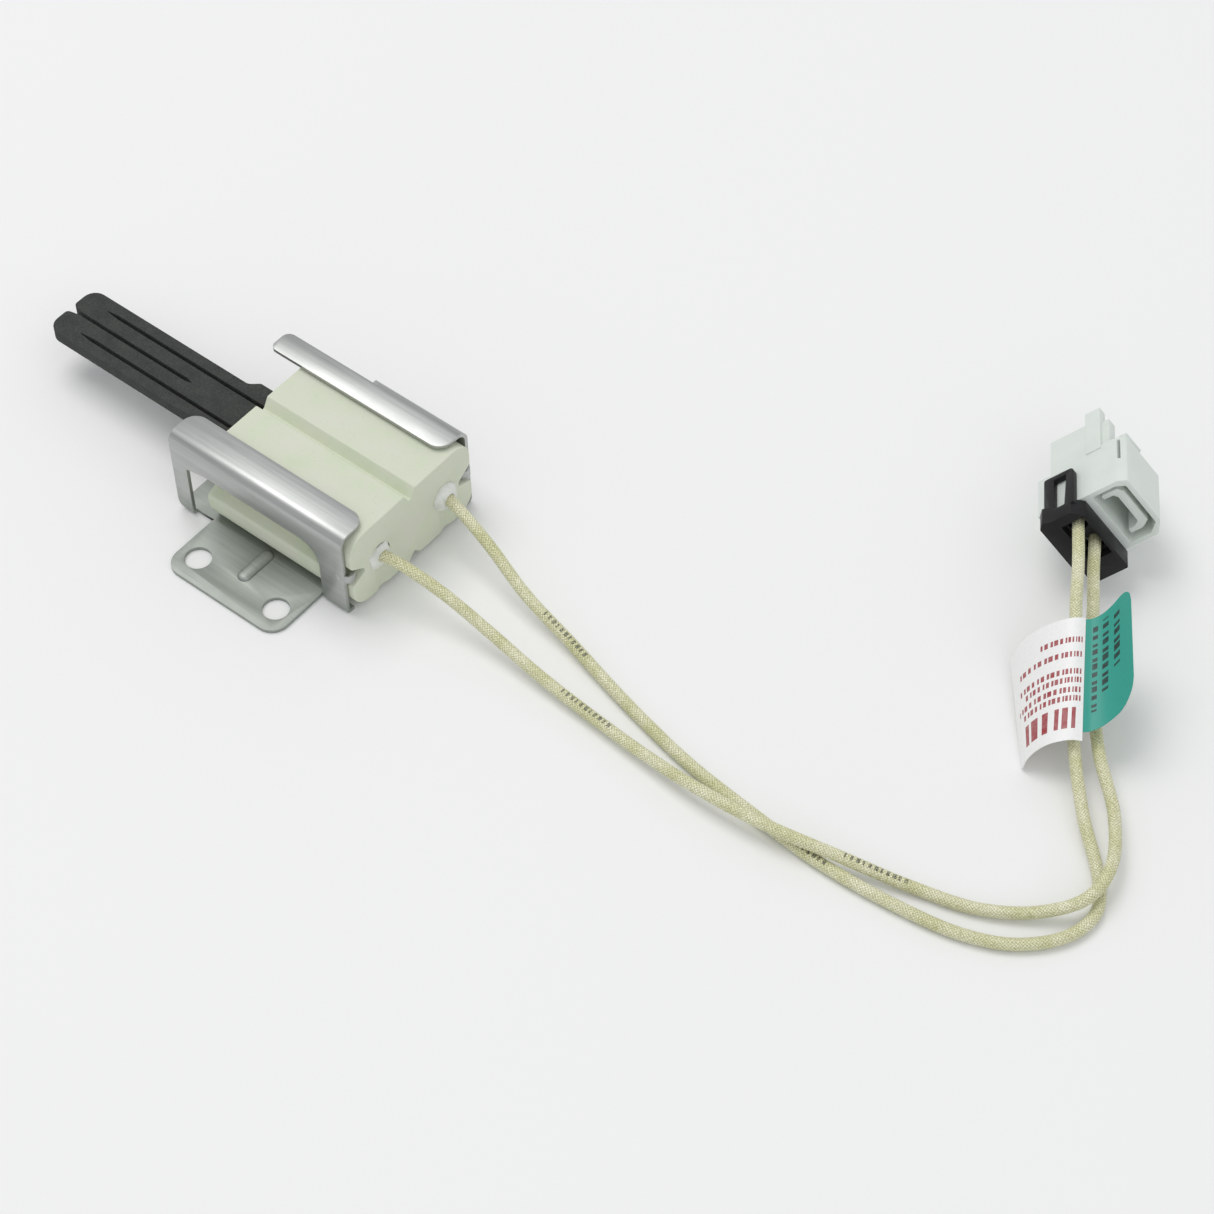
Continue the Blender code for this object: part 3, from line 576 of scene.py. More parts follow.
def combine(piece, bm, operation):
    """Joins a second solid to a piece, or cuts it away, and keeps the result as its mesh."""
    tool = to_object(piece.name + "_tool", bm)
    tool.parent = piece.parent
    modifier = piece.modifiers.new(operation.lower(), "BOOLEAN")
    modifier.operation = operation
    modifier.solver = "EXACT"
    modifier.object = tool
    keep_result(piece)
    bpy.data.objects.remove(tool)


def keep_result(piece):
    """Bakes a piece's modifiers into its mesh."""
    bpy.context.view_layer.update()
    shape = bpy.data.meshes.new_from_object(piece.evaluated_get(bpy.context.evaluated_depsgraph_get()))
    piece.modifiers.clear()
    piece.data = shape


def cut(piece, bm):
    combine(piece, bm, "DIFFERENCE")


def join(piece, bm):
    combine(piece, bm, "UNION")


def shade(piece, sharp):
    """Smooth shading, broken where faces meet at more than an angle in degrees."""
    piece.data.shade_smooth()
    piece.data.set_sharp_from_angle(angle=math.radians(sharp))


def soften(piece, width, segments, angle):
    """Small rounded edges that catch the light, then smooth shading."""
    bm = bmesh.new()
    bm.from_mesh(piece.data)
    bmesh.ops.remove_doubles(bm, verts=bm.verts, dist=0.002 * MM)
    bmesh.ops.dissolve_limit(bm, angle_limit=math.radians(0.5), verts=bm.verts, edges=bm.edges)
    bm.to_mesh(piece.data)
    bm.free()
    modifier = piece.modifiers.new("soft_edges", "BEVEL")
    modifier.width = width
    modifier.segments = segments
    modifier.limit_method = "ANGLE"
    modifier.angle_limit = math.radians(angle)
    keep_result(piece)
    shade(piece, 50)


def finish_piece(piece, body, *nodes):
    """Puts a piece on its body in place of the nodes that it stands for."""
    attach(piece, body)
    if nodes:
        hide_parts(*nodes)


def corner_waste(corner, outward, radius, margin=1.0 * MM):
    """The outline of what is cut off a sheet's corner to round it."""
    x, y = corner
    sx, sy = outward
    centre = (x - sx * radius, y - sy * radius)
    outline = [(x + sx * margin, y + sy * margin), (x + sx * margin, centre[1])]
    for u, v in arc((0, 0), radius, 0, 90, 10):
        outline.append((centre[0] + sx * u, centre[1] + sy * v))
    outline.append((centre[0], y + sy * margin))
    return outline


# ---- places taken from the frame

BLOCK_LOW, BLOCK_HIGH = (Vector(corner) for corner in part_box("ceramic_block"))
ELEMENT_LOW, ELEMENT_HIGH = (Vector(corner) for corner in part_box("sic_element"))
BRACKET_LOW, BRACKET_HIGH = (Vector(corner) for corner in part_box("mounting_bracket"))
BLOCK_MID = (BLOCK_LOW + BLOCK_HIGH) / 2
BLOCK_HEIGHT = BLOCK_HIGH.z - BLOCK_LOW.z
BLOCK_HALF = (BLOCK_HIGH.y - BLOCK_LOW.y) / 2
WALL_LEFT = BLOCK_LOW.y - GAP - SHEET
WALL_RIGHT = BRACKET_HIGH.y
LIP_TOP = BRACKET_HIGH.z


def connector_point(x, y, z):
    return CONNECTOR_AT + CONNECTOR_TURN.to_matrix() @ Vector((x, y, z))


# ---- leads

def lead_route(side):
    """The leads' centre lines: out of the block, down to the table and up to the connector."""
    routes = {
        "right": [
            (27.0, 35.2, 10.4), (36.5, 33.3, 7.9), (48.3, 30.1, 4.7), (61.3, 27.8, 2.3),
            (79.2, 23.4, 1.3), (96.5, 19.8, 1.3), (112.6, 18.1, 1.3), (127.0, 17.0, 1.3),
            (144.1, 17.9, 1.3), (158.0, 20.4, 1.3), (166.8, 24.8, 1.3), (172.8, 32.0, 1.3),
            (173.8, 39.0, 1.3), (170.1, 45.2, 1.4), (160.5, 54.2, 3.0), (152.2, 63.2, 6.0),
            (146.3, 70.6, 9.5), (141.2, 78.9, 12.7), (136.3, 85.8, 14.8), (131.7, 93.2, 15.9),
        ],
        "left": [
            (27.0, 17.6, 10.4), (36.8, 18.8, 7.8), (48.4, 18.8, 4.8), (61.8, 17.7, 2.8),
            (74.9, 16.8, 2.1), (89.4, 15.6, 2.6), (103.0, 14.9, 3.9), (117.7, 16.0, 4.3),
            (131.3, 19.2, 3.3), (145.1, 23.0, 1.5), (157.0, 26.6, 1.4), (166.0, 32.2, 2.2),
            (171.6, 38.6, 4.1), (171.4, 46.6, 4.2), (165.5, 56.8, 3.9), (155.6, 66.4, 4.9),
            (147.5, 76.0, 7.1), (141.8, 83.9, 8.9), (136.5, 92.0, 10.3), (132.4, 98.1, 11.2),
        ],
    }
    side_sign = dict(LEADS)[side]
    start = Vector((9.3 * MM, BLOCK_MID.y + side_sign * LEAD_OFFSET, BLOCK_MID.z))
    route = [start, Vector((BLOCK_HIGH.x, start.y, start.z))]
    route += [Vector(point) * MM for point in routes[side]]
    y = side_sign * CIRCUIT_OFFSET
    route += [connector_point(-3.6 * MM, y, 0), connector_point(1.2 * MM, y, 0)]
    return route


def smooth_points(route, spacing):
    """Evenly spaced points on a centripetal Catmull-Rom curve through the route."""
    padded = [2 * route[0] - route[1]] + route + [2 * route[-1] - route[-2]]
    dense = []
    for a, b, c, d in zip(padded, padded[1:], padded[2:], padded[3:]):
        knots = [0.0]
        for first, second in ((a, b), (b, c), (c, d)):
            knots.append(knots[-1] + math.sqrt((second - first).length))
        for step in range(24):
            t = knots[1] + (knots[2] - knots[1]) * step / 24
            level = [a, b, c, d]
            for span in (1, 2, 3):
                level = blend_knots(level, knots, span, t)
            dense.append(level[0])
    dense.append(route[-1])
    return even_points(dense, spacing)


def blend_knots(level, knots, span, t):
    first = max(span - 2, 0)
    reach = min(span, 2) if span < 3 else 1
    result = []
    for index in range(len(level) - 1):
        low = index + first
        share = (t - knots[low]) / (knots[low + reach] - knots[low])
        result.append(level[index].lerp(level[index + 1], share))
    return result


def even_points(dense, spacing):
    lengths = [0.0]
    for first, second in zip(dense, dense[1:]):
        lengths.append(lengths[-1] + (second - first).length)
    count = round(lengths[-1] / spacing)
    points = []
    index = 0
    for step in range(count + 1):
        target = lengths[-1] * step / count
        while index < len(dense) - 2 and lengths[index + 1] < target:
            index += 1
        run = lengths[index + 1] - lengths[index]
        points.append(dense[index].lerp(dense[index + 1], (target - lengths[index]) / run))
    return points


def make_lead(side, finish):
    """A mesh tube with coordinates round and along it for the braid."""
    spacing = 0.4 * MM
    sides = 24
    points = smooth_points(lead_route(side), spacing)
    bm = bmesh.new()
    uv_layer = bm.loops.layers.uv.new("braid")
    normal = Vector((0, 0, 1))
    rings = []
    for index, point in enumerate(points):
        before = points[max(index - 1, 0)]
        after = points[min(index + 1, len(points) - 1)]
        along = (after - before).normalized()
        normal = (normal - along * normal.dot(along)).normalized()
        other = along.cross(normal)
        ring = []
        for step in range(sides):
            angle = 2 * math.pi * step / sides
            spoke = normal * math.cos(angle) + other * math.sin(angle)
            ring.append(bm.verts.new(point + spoke * LEAD_DIAMETER / 2))
        rings.append(ring)
    for row, (ring, after) in enumerate(zip(rings, rings[1:])):
        for step in range(sides):
            beside = (step + 1) % sides
            face = bm.faces.new((ring[step], ring[beside], after[beside], after[step]))
            places = [(step, row), (step + 1, row), (step + 1, row + 1), (step, row + 1)]
            for loop, (u, v) in zip(face.loops, places):
                loop[uv_layer].uv = (u / sides, v * spacing / MM - PRINT_START[side])
    bm.faces.new(rings[0])
    bm.faces.new(rings[-1])
    lead = to_object("braided_lead_" + side, bm, finish)
    lead.data.shade_smooth()
    length = sum((b - a).length for a, b in zip(points, points[1:]))
    return lead, points, length


# ---- igniter head

def make_ceramic_block(finish):
    notch = BLOCK_HALF - 3.7 * MM
    corner = 4.4 * MM
    side = [
        (GROOVE_HALF_WIDTH, 0, 0.3 * MM),
        (BLOCK_HALF, 0, corner),
        (BLOCK_HALF, 7.0 * MM, 0.9 * MM),
        (notch, 8.4 * MM, 0.5 * MM),
        (notch + 0.3 * MM, 9.6 * MM, 0.5 * MM),
        (BLOCK_HALF, 11.9 * MM, 1.2 * MM),
        (BLOCK_HALF, BLOCK_HEIGHT, corner),
        (GROOVE_HALF_WIDTH, BLOCK_HEIGHT, 0.35 * MM),
    ]
    other_side = [(-y, z, radius) for y, z, radius in reversed(side)]
    groove = [(0, BLOCK_HEIGHT - GROOVE_DEPTH, 0.4 * MM)]
    bottom_groove = [(0, 1.8 * MM, 0.4 * MM)]
    outline = rounded(side + groove + other_side + bottom_groove, 9)
    placed = [(BLOCK_MID.y + y, BLOCK_LOW.z + z) for y, z in outline]
    piece = to_object("block", prism(placed, "X", BLOCK_LOW.x, BLOCK_HIGH.x), finish)
    soften(piece, 0.5 * MM, 4, 60)
    slot_low = (BLOCK_LOW.x - MM, BLOCK_MID.y - SLOT_HALF_WIDTH, BLOCK_MID.z - SLOT_HEIGHT / 2)
    slot_high = (3.0 * MM, BLOCK_MID.y + SLOT_HALF_WIDTH, BLOCK_MID.z + SLOT_HEIGHT / 2)
    cut(piece, block(slot_low, slot_high))
    for _, side_sign in LEADS:
        y = BLOCK_MID.y + side_sign * LEAD_OFFSET
        cut(piece, rod("X", (y, BLOCK_MID.z), CHANNEL_RADIUS, -3.4 * MM, BLOCK_HIGH.x + MM))
        cut(piece, rod("Z", (BLOCK_HIGH.x + 3.3 * MM, y), 3.8 * MM, -MM, BLOCK_MID.z, 64))
    shade(piece, 32)
    finish_piece(piece, "igniter", "ceramic_block")


def make_element(finish):
    """The slit blade, with the soft edges of a sawn and blasted carbide part."""
    slit = 0.42 * MM
    leg = 3.9 * MM
    tip = ELEMENT_LOW.x
    half_width = 6.75 * MM
    foot = (ELEMENT_HIGH.y - ELEMENT_LOW.y) / 2
    slit_end = -62.5 * MM
    half = [
        (-35.1 * MM, 0, 0),
        (-36.8 * MM, slit, 0.3 * MM),
        (-66.6 * MM, slit, 0),
        (tip, slit + 0.6 * MM, 0.9 * MM),
        (tip, half_width, 2.9 * MM),
        (-26.2 * MM, half_width, 2.0 * MM),
        (-24.2 * MM, foot, 0.8 * MM),
        (ELEMENT_HIGH.x, foot, 0),
        (ELEMENT_HIGH.x, leg + slit, 0),
        (slit_end + 3.2 * MM, leg + slit, 0.5 * MM),
        (slit_end, leg + 0.06 * MM, 0),
        (slit_end, leg - 0.06 * MM, 0),
        (slit_end + 3.2 * MM, leg - slit, 0.5 * MM),
        (-9.0 * MM, leg - slit, 0),
    ]
    other_half = [(x, -y, radius) for x, y, radius in reversed(half[1:])]
    outline = [(x, BLOCK_MID.y + y) for x, y in rounded(half + other_half)]
    piece = to_object("carbide_blade", prism(outline, "Z", ELEMENT_LOW.z, ELEMENT_HIGH.z), finish)
    soften(piece, 0.22 * MM, 3, 40)
    finish_piece(piece, "igniter", "sic_element")


def lumpy_ring(name, y, profile, seed, finish, sides=64):
    """A ring of revolution about an axis along X, roughened like hand-trowelled cement."""
    bm = bmesh.new()
    rings = []
    for x, radius, rough in profile:
        ring = []
        for step in range(sides):
            angle = 2 * math.pi * step / sides
            round_about = (radius * 500 * math.cos(angle), radius * 500 * math.sin(angle) + seed)
            spot = Vector((x * 500, *round_about))
            swell = noise.noise(spot) + 0.5 * noise.noise(spot * 2.3)
            reach = radius * (1 + rough * swell)
            lift = rough * 1.2 * MM * noise.noise(spot + Vector((9, 0, 0)))
            spoke = (reach * math.cos(angle), reach * math.sin(angle))
            ring.append(bm.verts.new((x + lift, y + spoke[0], BLOCK_MID.z + spoke[1])))
        rings.append(ring)
    skin(bm, rings + rings[:1])
    piece = to_object(name, bm, finish)
    piece.data.shade_smooth()
    return piece


def make_rear_cement(side, finish):
    """The cement that seals a lead in its channel: whole on the right, crumbled on the left."""
    collar, bulge = {"left": (2.9 * MM, 0.9 * MM), "right": (3.2 * MM, 1.7 * MM)}[side]
    rough = {"left": 0.26, "right": 0.06}[side]
    y = BLOCK_MID.y + dict(LEADS)[side] * LEAD_OFFSET
    bore = LEAD_DIAMETER / 2 - 0.02 * MM
    stem = CHANNEL_RADIUS - GAP
    front = BLOCK_HIGH.x - 7 * MM
    back = BLOCK_HIGH.x - 0.1 * MM
    profile = [(front, bore, 0), (front, stem, 0), (back, stem, 0), (back, collar, rough)]
    for step in range(1, 7):
        angle = math.radians(15 * step)
        reach = max(bore + (collar - bore) * math.cos(angle), bore + 0.15 * MM)
        profile.append((back + bulge * math.sin(angle), reach, rough * math.cos(angle)))
    profile.append((back + bulge * 0.9, bore, 0))
    piece = lumpy_ring("cement_plug_" + side, y, profile, dict(LEADS)[side] * 3.0, finish)
    finish_piece(piece, "igniter", "rear_cement_" + side)


# ---- bracket

def channel_section():
    """The folded section: lip, left wall, base, right wall and lip, seen along X."""
    corners = [
        (WALL_LEFT, LIP_TOP, 2.3 * MM),
        (WALL_LEFT, 0, 1.2 * MM),
        (WALL_RIGHT, 0, 1.2 * MM),
        (WALL_RIGHT, LIP_TOP, 3.0 * MM),
    ]
    path = [Vector((WALL_LEFT + LIP_WIDTH, LIP_TOP))]
    path += [Vector(corner[:2]) for corner in corners]
    path.append(Vector((WALL_RIGHT - LIP_WIDTH, LIP_TOP)))
    outside = [path[0]]
    inside = [path[0] - Vector((0, SHEET))]
    for index, (_, _, radius) in enumerate(corners, start=1):
        arrive = (path[index] - path[index - 1]).normalized()
        leave = (path[index + 1] - path[index]).normalized()
        centre = path[index] - radius * arrive + radius * leave
        for step in range(13):
            angle = math.radians(90 * step / 12)
            spoke = -leave * math.cos(angle) + arrive * math.sin(angle)
            outside.append(centre + radius * spoke)
            inside.append(centre + (radius - SHEET) * spoke)
    outside.append(path[-1])
    inside.append(path[-1] - Vector((0, SHEET)))
    return [tuple(point) for point in outside + inside[::-1]]


def make_bracket(finish):
    front, rear = BRACKET_LOW.x, BRACKET_HIGH.x
    right_front = -2.0 * MM
    piece = to_object("bracket", prism(channel_section(), "X", front, rear), finish)
    window = rounded([
        (-19.0 * MM, -MM, 0),
        (15.5 * MM, -MM, 0),
        (15.5 * MM, 15.0 * MM, 4.6 * MM),
        (-14.0 * MM, 15.0 * MM, 1.2 * MM),
        (-19.0 * MM, 13.8 * MM, 0.5 * MM),
    ])
    cut(piece, prism(window, "Y", WALL_LEFT - MM, WALL_LEFT + 1.25 * MM))
    front_relief = rounded([
        (front - MM, -MM, 0),
        (right_front, -MM, 0),
        (right_front, LIP_TOP - 3.2 * MM, 0),
        (right_front + 0.6 * MM, LIP_TOP - 1.4 * MM, 0.6 * MM),
        (right_front + 3.0 * MM, LIP_TOP, 0),
        (right_front + 3.0 * MM, LIP_TOP + MM, 0),
        (front - MM, LIP_TOP + MM, 0),
    ])
    cut(piece, prism(front_relief, "Y", WALL_RIGHT - 2.2 * MM, WALL_RIGHT + MM))
    cut(piece, block((19.0 * MM, WALL_LEFT + 2 * MM, -MM), (rear + MM, WALL_RIGHT - 2 * MM, 2 * MM)))
    left_lip = WALL_LEFT + LIP_WIDTH
    right_lip = WALL_RIGHT - LIP_WIDTH
    lip_corners = [
        ((front, left_lip), (-1, 1), 3.2 * MM),
        ((rear, left_lip), (1, 1), 3.0 * MM),
        ((front, right_lip), (-1, -1), 1.4 * MM),
        ((front, WALL_RIGHT - 2.2 * MM), (-1, 1), 1.9 * MM),
        ((rear, right_lip), (1, -1), 3.0 * MM),
    ]
    for corner, outward, radius in lip_corners:
        cut(piece, prism(corner_waste(corner, outward, radius), "Z", LIP_TOP - 2 * MM, LIP_TOP + MM))
    foot_corner = corner_waste((front, 0), (-1, -1), 2.8 * MM)
    cut(piece, prism(foot_corner, "Y", WALL_LEFT - MM, WALL_LEFT + 1.3 * MM))
    join(piece, make_flange())
    join(piece, make_rib())
    for side_sign in (-1, 1):
        cut(piece, rod("Z", (side_sign * HOLE_SPACING / 2, 0), HOLE_RADIUS, -MM, 2 * MM, 64))
    soften(piece, 0.14 * MM, 2, 50)
    finish_piece(piece, "igniter", "mounting_bracket")


def make_flange():
    root = WALL_LEFT + 4.0 * MM
    outline = rounded([
        (-FLANGE_HALF_LENGTH, root, 0),
        (-FLANGE_HALF_LENGTH, BRACKET_LOW.y, FLANGE_CORNER),
        (FLANGE_HALF_LENGTH, BRACKET_LOW.y, FLANGE_CORNER),
        (FLANGE_HALF_LENGTH, root, 0),
    ], 12)
    return prism(outline, "Z", 0, SHEET)


def make_rib():
    """The pressed stiffener across the flange."""
    layers = []
    for step in range(8):
        angle = math.radians(90 * step / 8)
        radius = 1.5 * MM * math.cos(angle) ** 0.8
        height = SHEET - 0.1 * MM + 0.9 * MM * math.sin(angle)
        ends = arc((0, 2.3 * MM), radius, 180, 360, 16) + arc((0, 8.6 * MM), radius, 0, 180, 16)
        layers.append((ends, height))
    return stack(layers)


def make_tongue(name, wall, inward, finish):
    """The wall's rear tongue, curled into the block's side notch."""
    curl = [(-1.2, 0.4), (-0.2, 0.5), (0.5, 1.0), (0.7, 1.8), (0.2, 2.8), (-0.8, 3.4)]
    middle = [Vector((BRACKET_HIGH.x + x * MM, wall + inward * y * MM)) for x, y in curl]
    one, two = [], []
    for index, point in enumerate(middle):
        along = (middle[min(index + 1, len(middle) - 1)] - middle[max(index - 1, 0)]).normalized()
        side = Vector((-along.y, along.x)) * SHEET / 2
        one.append(tuple(point + side))
        two.append(tuple(point - side))
    height = BLOCK_MID.z - 0.4 * MM
    piece = to_object(name, prism(one + two[::-1], "Z", height - 1.0 * MM, height + 1.0 * MM), finish)
    bump = bmesh.new()
    bmesh.ops.create_uvsphere(bump, u_segments=24, v_segments=12, radius=0.75 * MM)
    for vertex in bump.verts:
        vertex.co = Vector((vertex.co.x, vertex.co.y * 0.6, vertex.co.z))
        vertex.co += Vector((BRACKET_HIGH.x - 1.6 * MM, wall + inward * 0.15 * MM, height))
    join(piece, bump)
    soften(piece, 0.12 * MM, 2, 50)
    finish_piece(piece, "igniter")


# ---- labels

def through(profile, share):
    """A point part of the way along a smooth curve through profile points."""
    points = [Vector(point) for point in profile]
    spans = len(points) - 1
    place = min(share * spans, spans - 1e-6)
    index = int(place)
    t = place - index
    p1, p2 = points[index], points[index + 1]
    p0 = points[index - 1] if index else 2 * p1 - p2
    p3 = points[index + 2] if index + 2 < len(points) else 2 * p2 - p1
    return 0.5 * (2 * p1 + (p2 - p0) * t + (2 * p0 - 5 * p1 + 4 * p2 - p3) * t * t
                  + (3 * p1 - p0 - 3 * p2 + p3) * t * t * t)


def drawn_in(u, v, corner):
    """Draws the sheet's grid in towards the middle where its free corners are rounded."""
    over = max(0.0, u - (1 - corner)) / corner
    narrowing = corner * (1 - math.sqrt(max(0.0, 1 - over * over)))
    return u, 0.5 + (v - 0.5) * (1 - 1.3 * narrowing)


def make_label(name, near, far, skew, corner, finish):
    """A paper sheet lofted between its two end profiles, given as (y, z) in the label frame.

    Each end is (x, profile) in millimetres; skew moves the free edge along X, and corner is the
    share of the width taken by the free edge's rounded corners.
    """
    columns, rows = 48, 32
    (near_x, near_line), (far_x, far_line) = near, far
    turn = LABEL_TURN.to_matrix()
    bm = bmesh.new()
    uv_layer = bm.loops.layers.uv.new("print")
    grid = []
    for row in range(rows + 1):
        line = []
        for column in range(columns + 1):
            u, v = drawn_in(column / columns, row / rows, corner)
            flat = through(near_line, u).lerp(through(far_line, u), v)
            x = near_x + (far_x - near_x) * v + skew * u * u
            point = LABEL_AT + turn @ (Vector((x, flat.x, flat.y)) * MM)
            line.append(bm.verts.new(point))
        grid.append(line)
    for row in range(rows):
        for column in range(columns):
            corners = ((row, column), (row, column + 1), (row + 1, column + 1), (row + 1, column))
            face = bm.faces.new([grid[r][c] for r, c in corners])
            for loop, (r, c) in zip(face.loops, corners):
                loop[uv_layer].uv = drawn_in(c / columns, r / rows, corner)
    piece = to_object(name, bm, finish)
    paper = piece.modifiers.new("paper", "SOLIDIFY")
    paper.thickness = 0.12 * MM
    paper.offset = 0
    keep_result(piece)
    shade(piece, 60)
    return piece


def make_white_label():
    """The white flag, hanging down beside the leads, with a bold row under six fine ones."""
    fine_rows = [
        (0.34, 0.84, 19), (0.41, 0.90, 17), (0.49, 0.80, 20),
        (0.56, 0.86, 18), (0.70, 0.88, 17), (0.82, 0.62, 19),
    ]
    rows = [(0.18, 0.17, 0.05, 0.82, 8)]
    rows += [(centre, 0.045, 0.03, last, dashes) for centre, last, dashes in fine_rows]
    stock = printed_paper_material("white_stock", (0.90, 0.90, 0.89), (0.33, 0.02, 0.03), rows, True)
    near = [(-1.9, 1.5), (0.0, 1.85), (2.0, 1.5), (4.4, 0.3), (6.4, -1.8), (7.8, -4.4), (8.4, -7.0)]
    far = [(-1.2, 1.5), (0.3, 1.85), (2.2, 1.5), (5.0, -0.2), (8.0, -3.2), (10.4, -7.2), (11.8, -11.0)]
    label = make_label("white_flag", (-13.3, near), (11.5, far), -3.5, 0.08, stock)
    finish_piece(label, "igniter", "white_label")
    return label


def make_teal_label():
    """The teal flag, standing up on the other side, with three rows along the leads."""
    rows = [(0.28, 0.12, 0.16, 0.92, 15), (0.50, 0.12, 0.30, 0.94, 14), (0.72, 0.11, 0.44, 0.93, 14)]
    stock = printed_paper_material("teal_stock", (0.020, 0.33, 0.26), (0.006, 0.02, 0.02), rows, False)
    near = [(-1.9, 1.3), (-3.6, 1.3), (-5.8, 2.0), (-8.2, 3.6), (-10.6, 6.2)]
    far = [(-1.2, 1.3), (-2.8, 1.4), (-4.8, 2.4), (-6.8, 4.4), (-8.6, 7.2)]
    label = make_label("teal_flag", (-11.4, near), (11.4, far), 6.0, 0.26, stock)
    finish_piece(label, "igniter", "teal_label")
    return label


# ---- connector

def hood_outline(inset, floor):
    """The hood's cross-section, pulled in by a wall thickness."""
    corner = 0.6 * MM
    return rounded([
        (BODY_FAR + inset, floor, 0.2 * MM),
        (BODY_NEAR - inset, floor, 0.2 * MM),
        (BODY_NEAR - inset, HOOD_TOP - inset - 1.8 * MM, 0.2 * MM),
        (BODY_NEAR - inset - 0.9 * MM, HOOD_TOP - inset, corner),
        (BODY_NEAR - 12.6 * MM, HOOD_TOP - inset, corner),
        (BODY_FAR + inset, HOOD_TOP - inset - 2.1 * MM, corner),
    ], 4)


def make_housing(finish, place):
    """The plug's body with its two circuits, the hood for the latch, a key rib and a foot."""
    body = rounded([
        (BODY_FAR, BODY_BOTTOM, 0.5 * MM),
        (BODY_NEAR, BODY_BOTTOM, 0.5 * MM),
        (BODY_NEAR, BODY_TOP, 0),
        (BODY_FAR, BODY_TOP, 0),
    ], 4)
    piece = to_object("plug_housing", prism(body, "X", 0, BODY_LENGTH), finish, place)
    join(piece, prism(hood_outline(0, BODY_TOP - 0.6 * MM), "X", 0, HOOD_LENGTH))
    upper_low = (HOOD_LENGTH - MM, BODY_FAR + 2.0 * MM, BODY_TOP - MM)
    upper_high = (BODY_LENGTH - 0.6 * MM, BODY_NEAR - 0.6 * MM, 8.6 * MM)
    join(piece, block(upper_low, upper_high))
    rib_low = (HOOD_LENGTH - MM, BODY_NEAR - 1.6 * MM, 3.8 * MM)
    rib_high = (BODY_LENGTH + 3.0 * MM, BODY_NEAR + 0.3 * MM, 7.1 * MM)
    join(piece, block(rib_low, rib_high))
    foot_low = (1.2 * MM, 2.4 * MM, -7.4 * MM)
    foot_high = (11.9 * MM, BODY_NEAR - 0.4 * MM, BODY_BOTTOM + MM)
    join(piece, block(foot_low, foot_high))
    cut(piece, prism(hood_outline(HOOD_WALL, BODY_TOP + 0.4 * MM), "X", -MM, HOOD_LENGTH - HOOD_WALL))
    hook_half = LATCH_HALF_WIDTH + 0.5 * MM
    hook_low = (HOOD_LENGTH - 2 * MM, LATCH_PIVOT.y - hook_half, 5.6 * MM)
    cut(piece, block(hook_low, (BODY_LENGTH + MM, LATCH_PIVOT.y + hook_half, 10.8 * MM)))
    key_low = (8.0 * MM, BODY_FAR + 1.2 * MM, -2.4 * MM)
    key_high = (BODY_LENGTH + MM, BODY_FAR + 3.4 * MM, 2.4 * MM)
    cut(piece, block(key_low, key_high))
    slit_low = (6.8 * MM, BODY_NEAR - 2.0 * MM, 10.5 * MM)
    slit_high = (12.4 * MM, BODY_NEAR + MM, 11.1 * MM)
    cut(piece, block(slit_low, slit_high))
    for _, side_sign in LEADS:
        y = side_sign * CIRCUIT_OFFSET
        cut(piece, block((-MM, y - 2.1 * MM, -2.1 * MM), (BODY_LENGTH + MM, y + 2.1 * MM, 2.1 * MM)))
    soften(piece, 0.2 * MM, 3, 40)
    return piece


def make_retainer(finish, place):
    """The plate behind the body, with the wires through it, and its slotted side strap."""
    strap_inside = BODY_NEAR + GAP
    strap_outside = strap_inside + 1.1 * MM
    plate = rounded([
        (BODY_FAR - 0.7 * MM, -5.0 * MM, 0.5 * MM),
        (-4.6 * MM, -5.0 * MM, 0),
        (-4.6 * MM, -6.2 * MM, 0.3 * MM),
        (strap_outside - 0.6 * MM, -6.2 * MM, 0.5 * MM),
        (strap_outside + 0.6 * MM, -5.0 * MM, 0.3 * MM),
        (strap_outside, -3.6 * MM, 0),
        (strap_outside, 0.8 * MM, 0.3 * MM),
        (BODY_NEAR - 0.8 * MM, 3.0 * MM, 0.5 * MM),
        (BODY_FAR - 0.7 * MM, 3.0 * MM, 0.5 * MM),
    ], 4)
    piece = to_object("plug_retainer", prism(plate, "X", -4.6 * MM, -GAP), finish, place)
    strap = rounded([
        (-1.6 * MM, -4.9 * MM, 0.2 * MM),
        (8.6 * MM, -4.9 * MM, 0.5 * MM),
        (8.6 * MM, 1.7 * MM, 1.0 * MM),
        (-1.6 * MM, 1.7 * MM, 0.3 * MM),
    ], 5)
    join(piece, prism(strap, "Y", strap_inside, strap_outside))
    slot = rounded([
        (-1.2 * MM, -2.7 * MM, 0.3 * MM),
        (7.4 * MM, -2.7 * MM, 0.3 * MM),
        (7.4 * MM, 0.1 * MM, 0.3 * MM),
        (-1.2 * MM, -0.4 * MM, 0.3 * MM),
    ], 4)
    cut(piece, prism(slot, "Y", strap_inside - 0.2 * MM, strap_outside + MM))
    cut(piece, block((-5.0 * MM, -5.4 * MM, -2.5 * MM), (-2.4 * MM, 5.0 * MM, 2.3 * MM)))
    for _, side_sign in LEADS:
        cut(piece, rod("X", (side_sign * CIRCUIT_OFFSET, 0), LEAD_DIAMETER / 2 + 0.8 * MM, -6 * MM, MM))
    soften(piece, 0.2 * MM, 2, 40)
    return piece


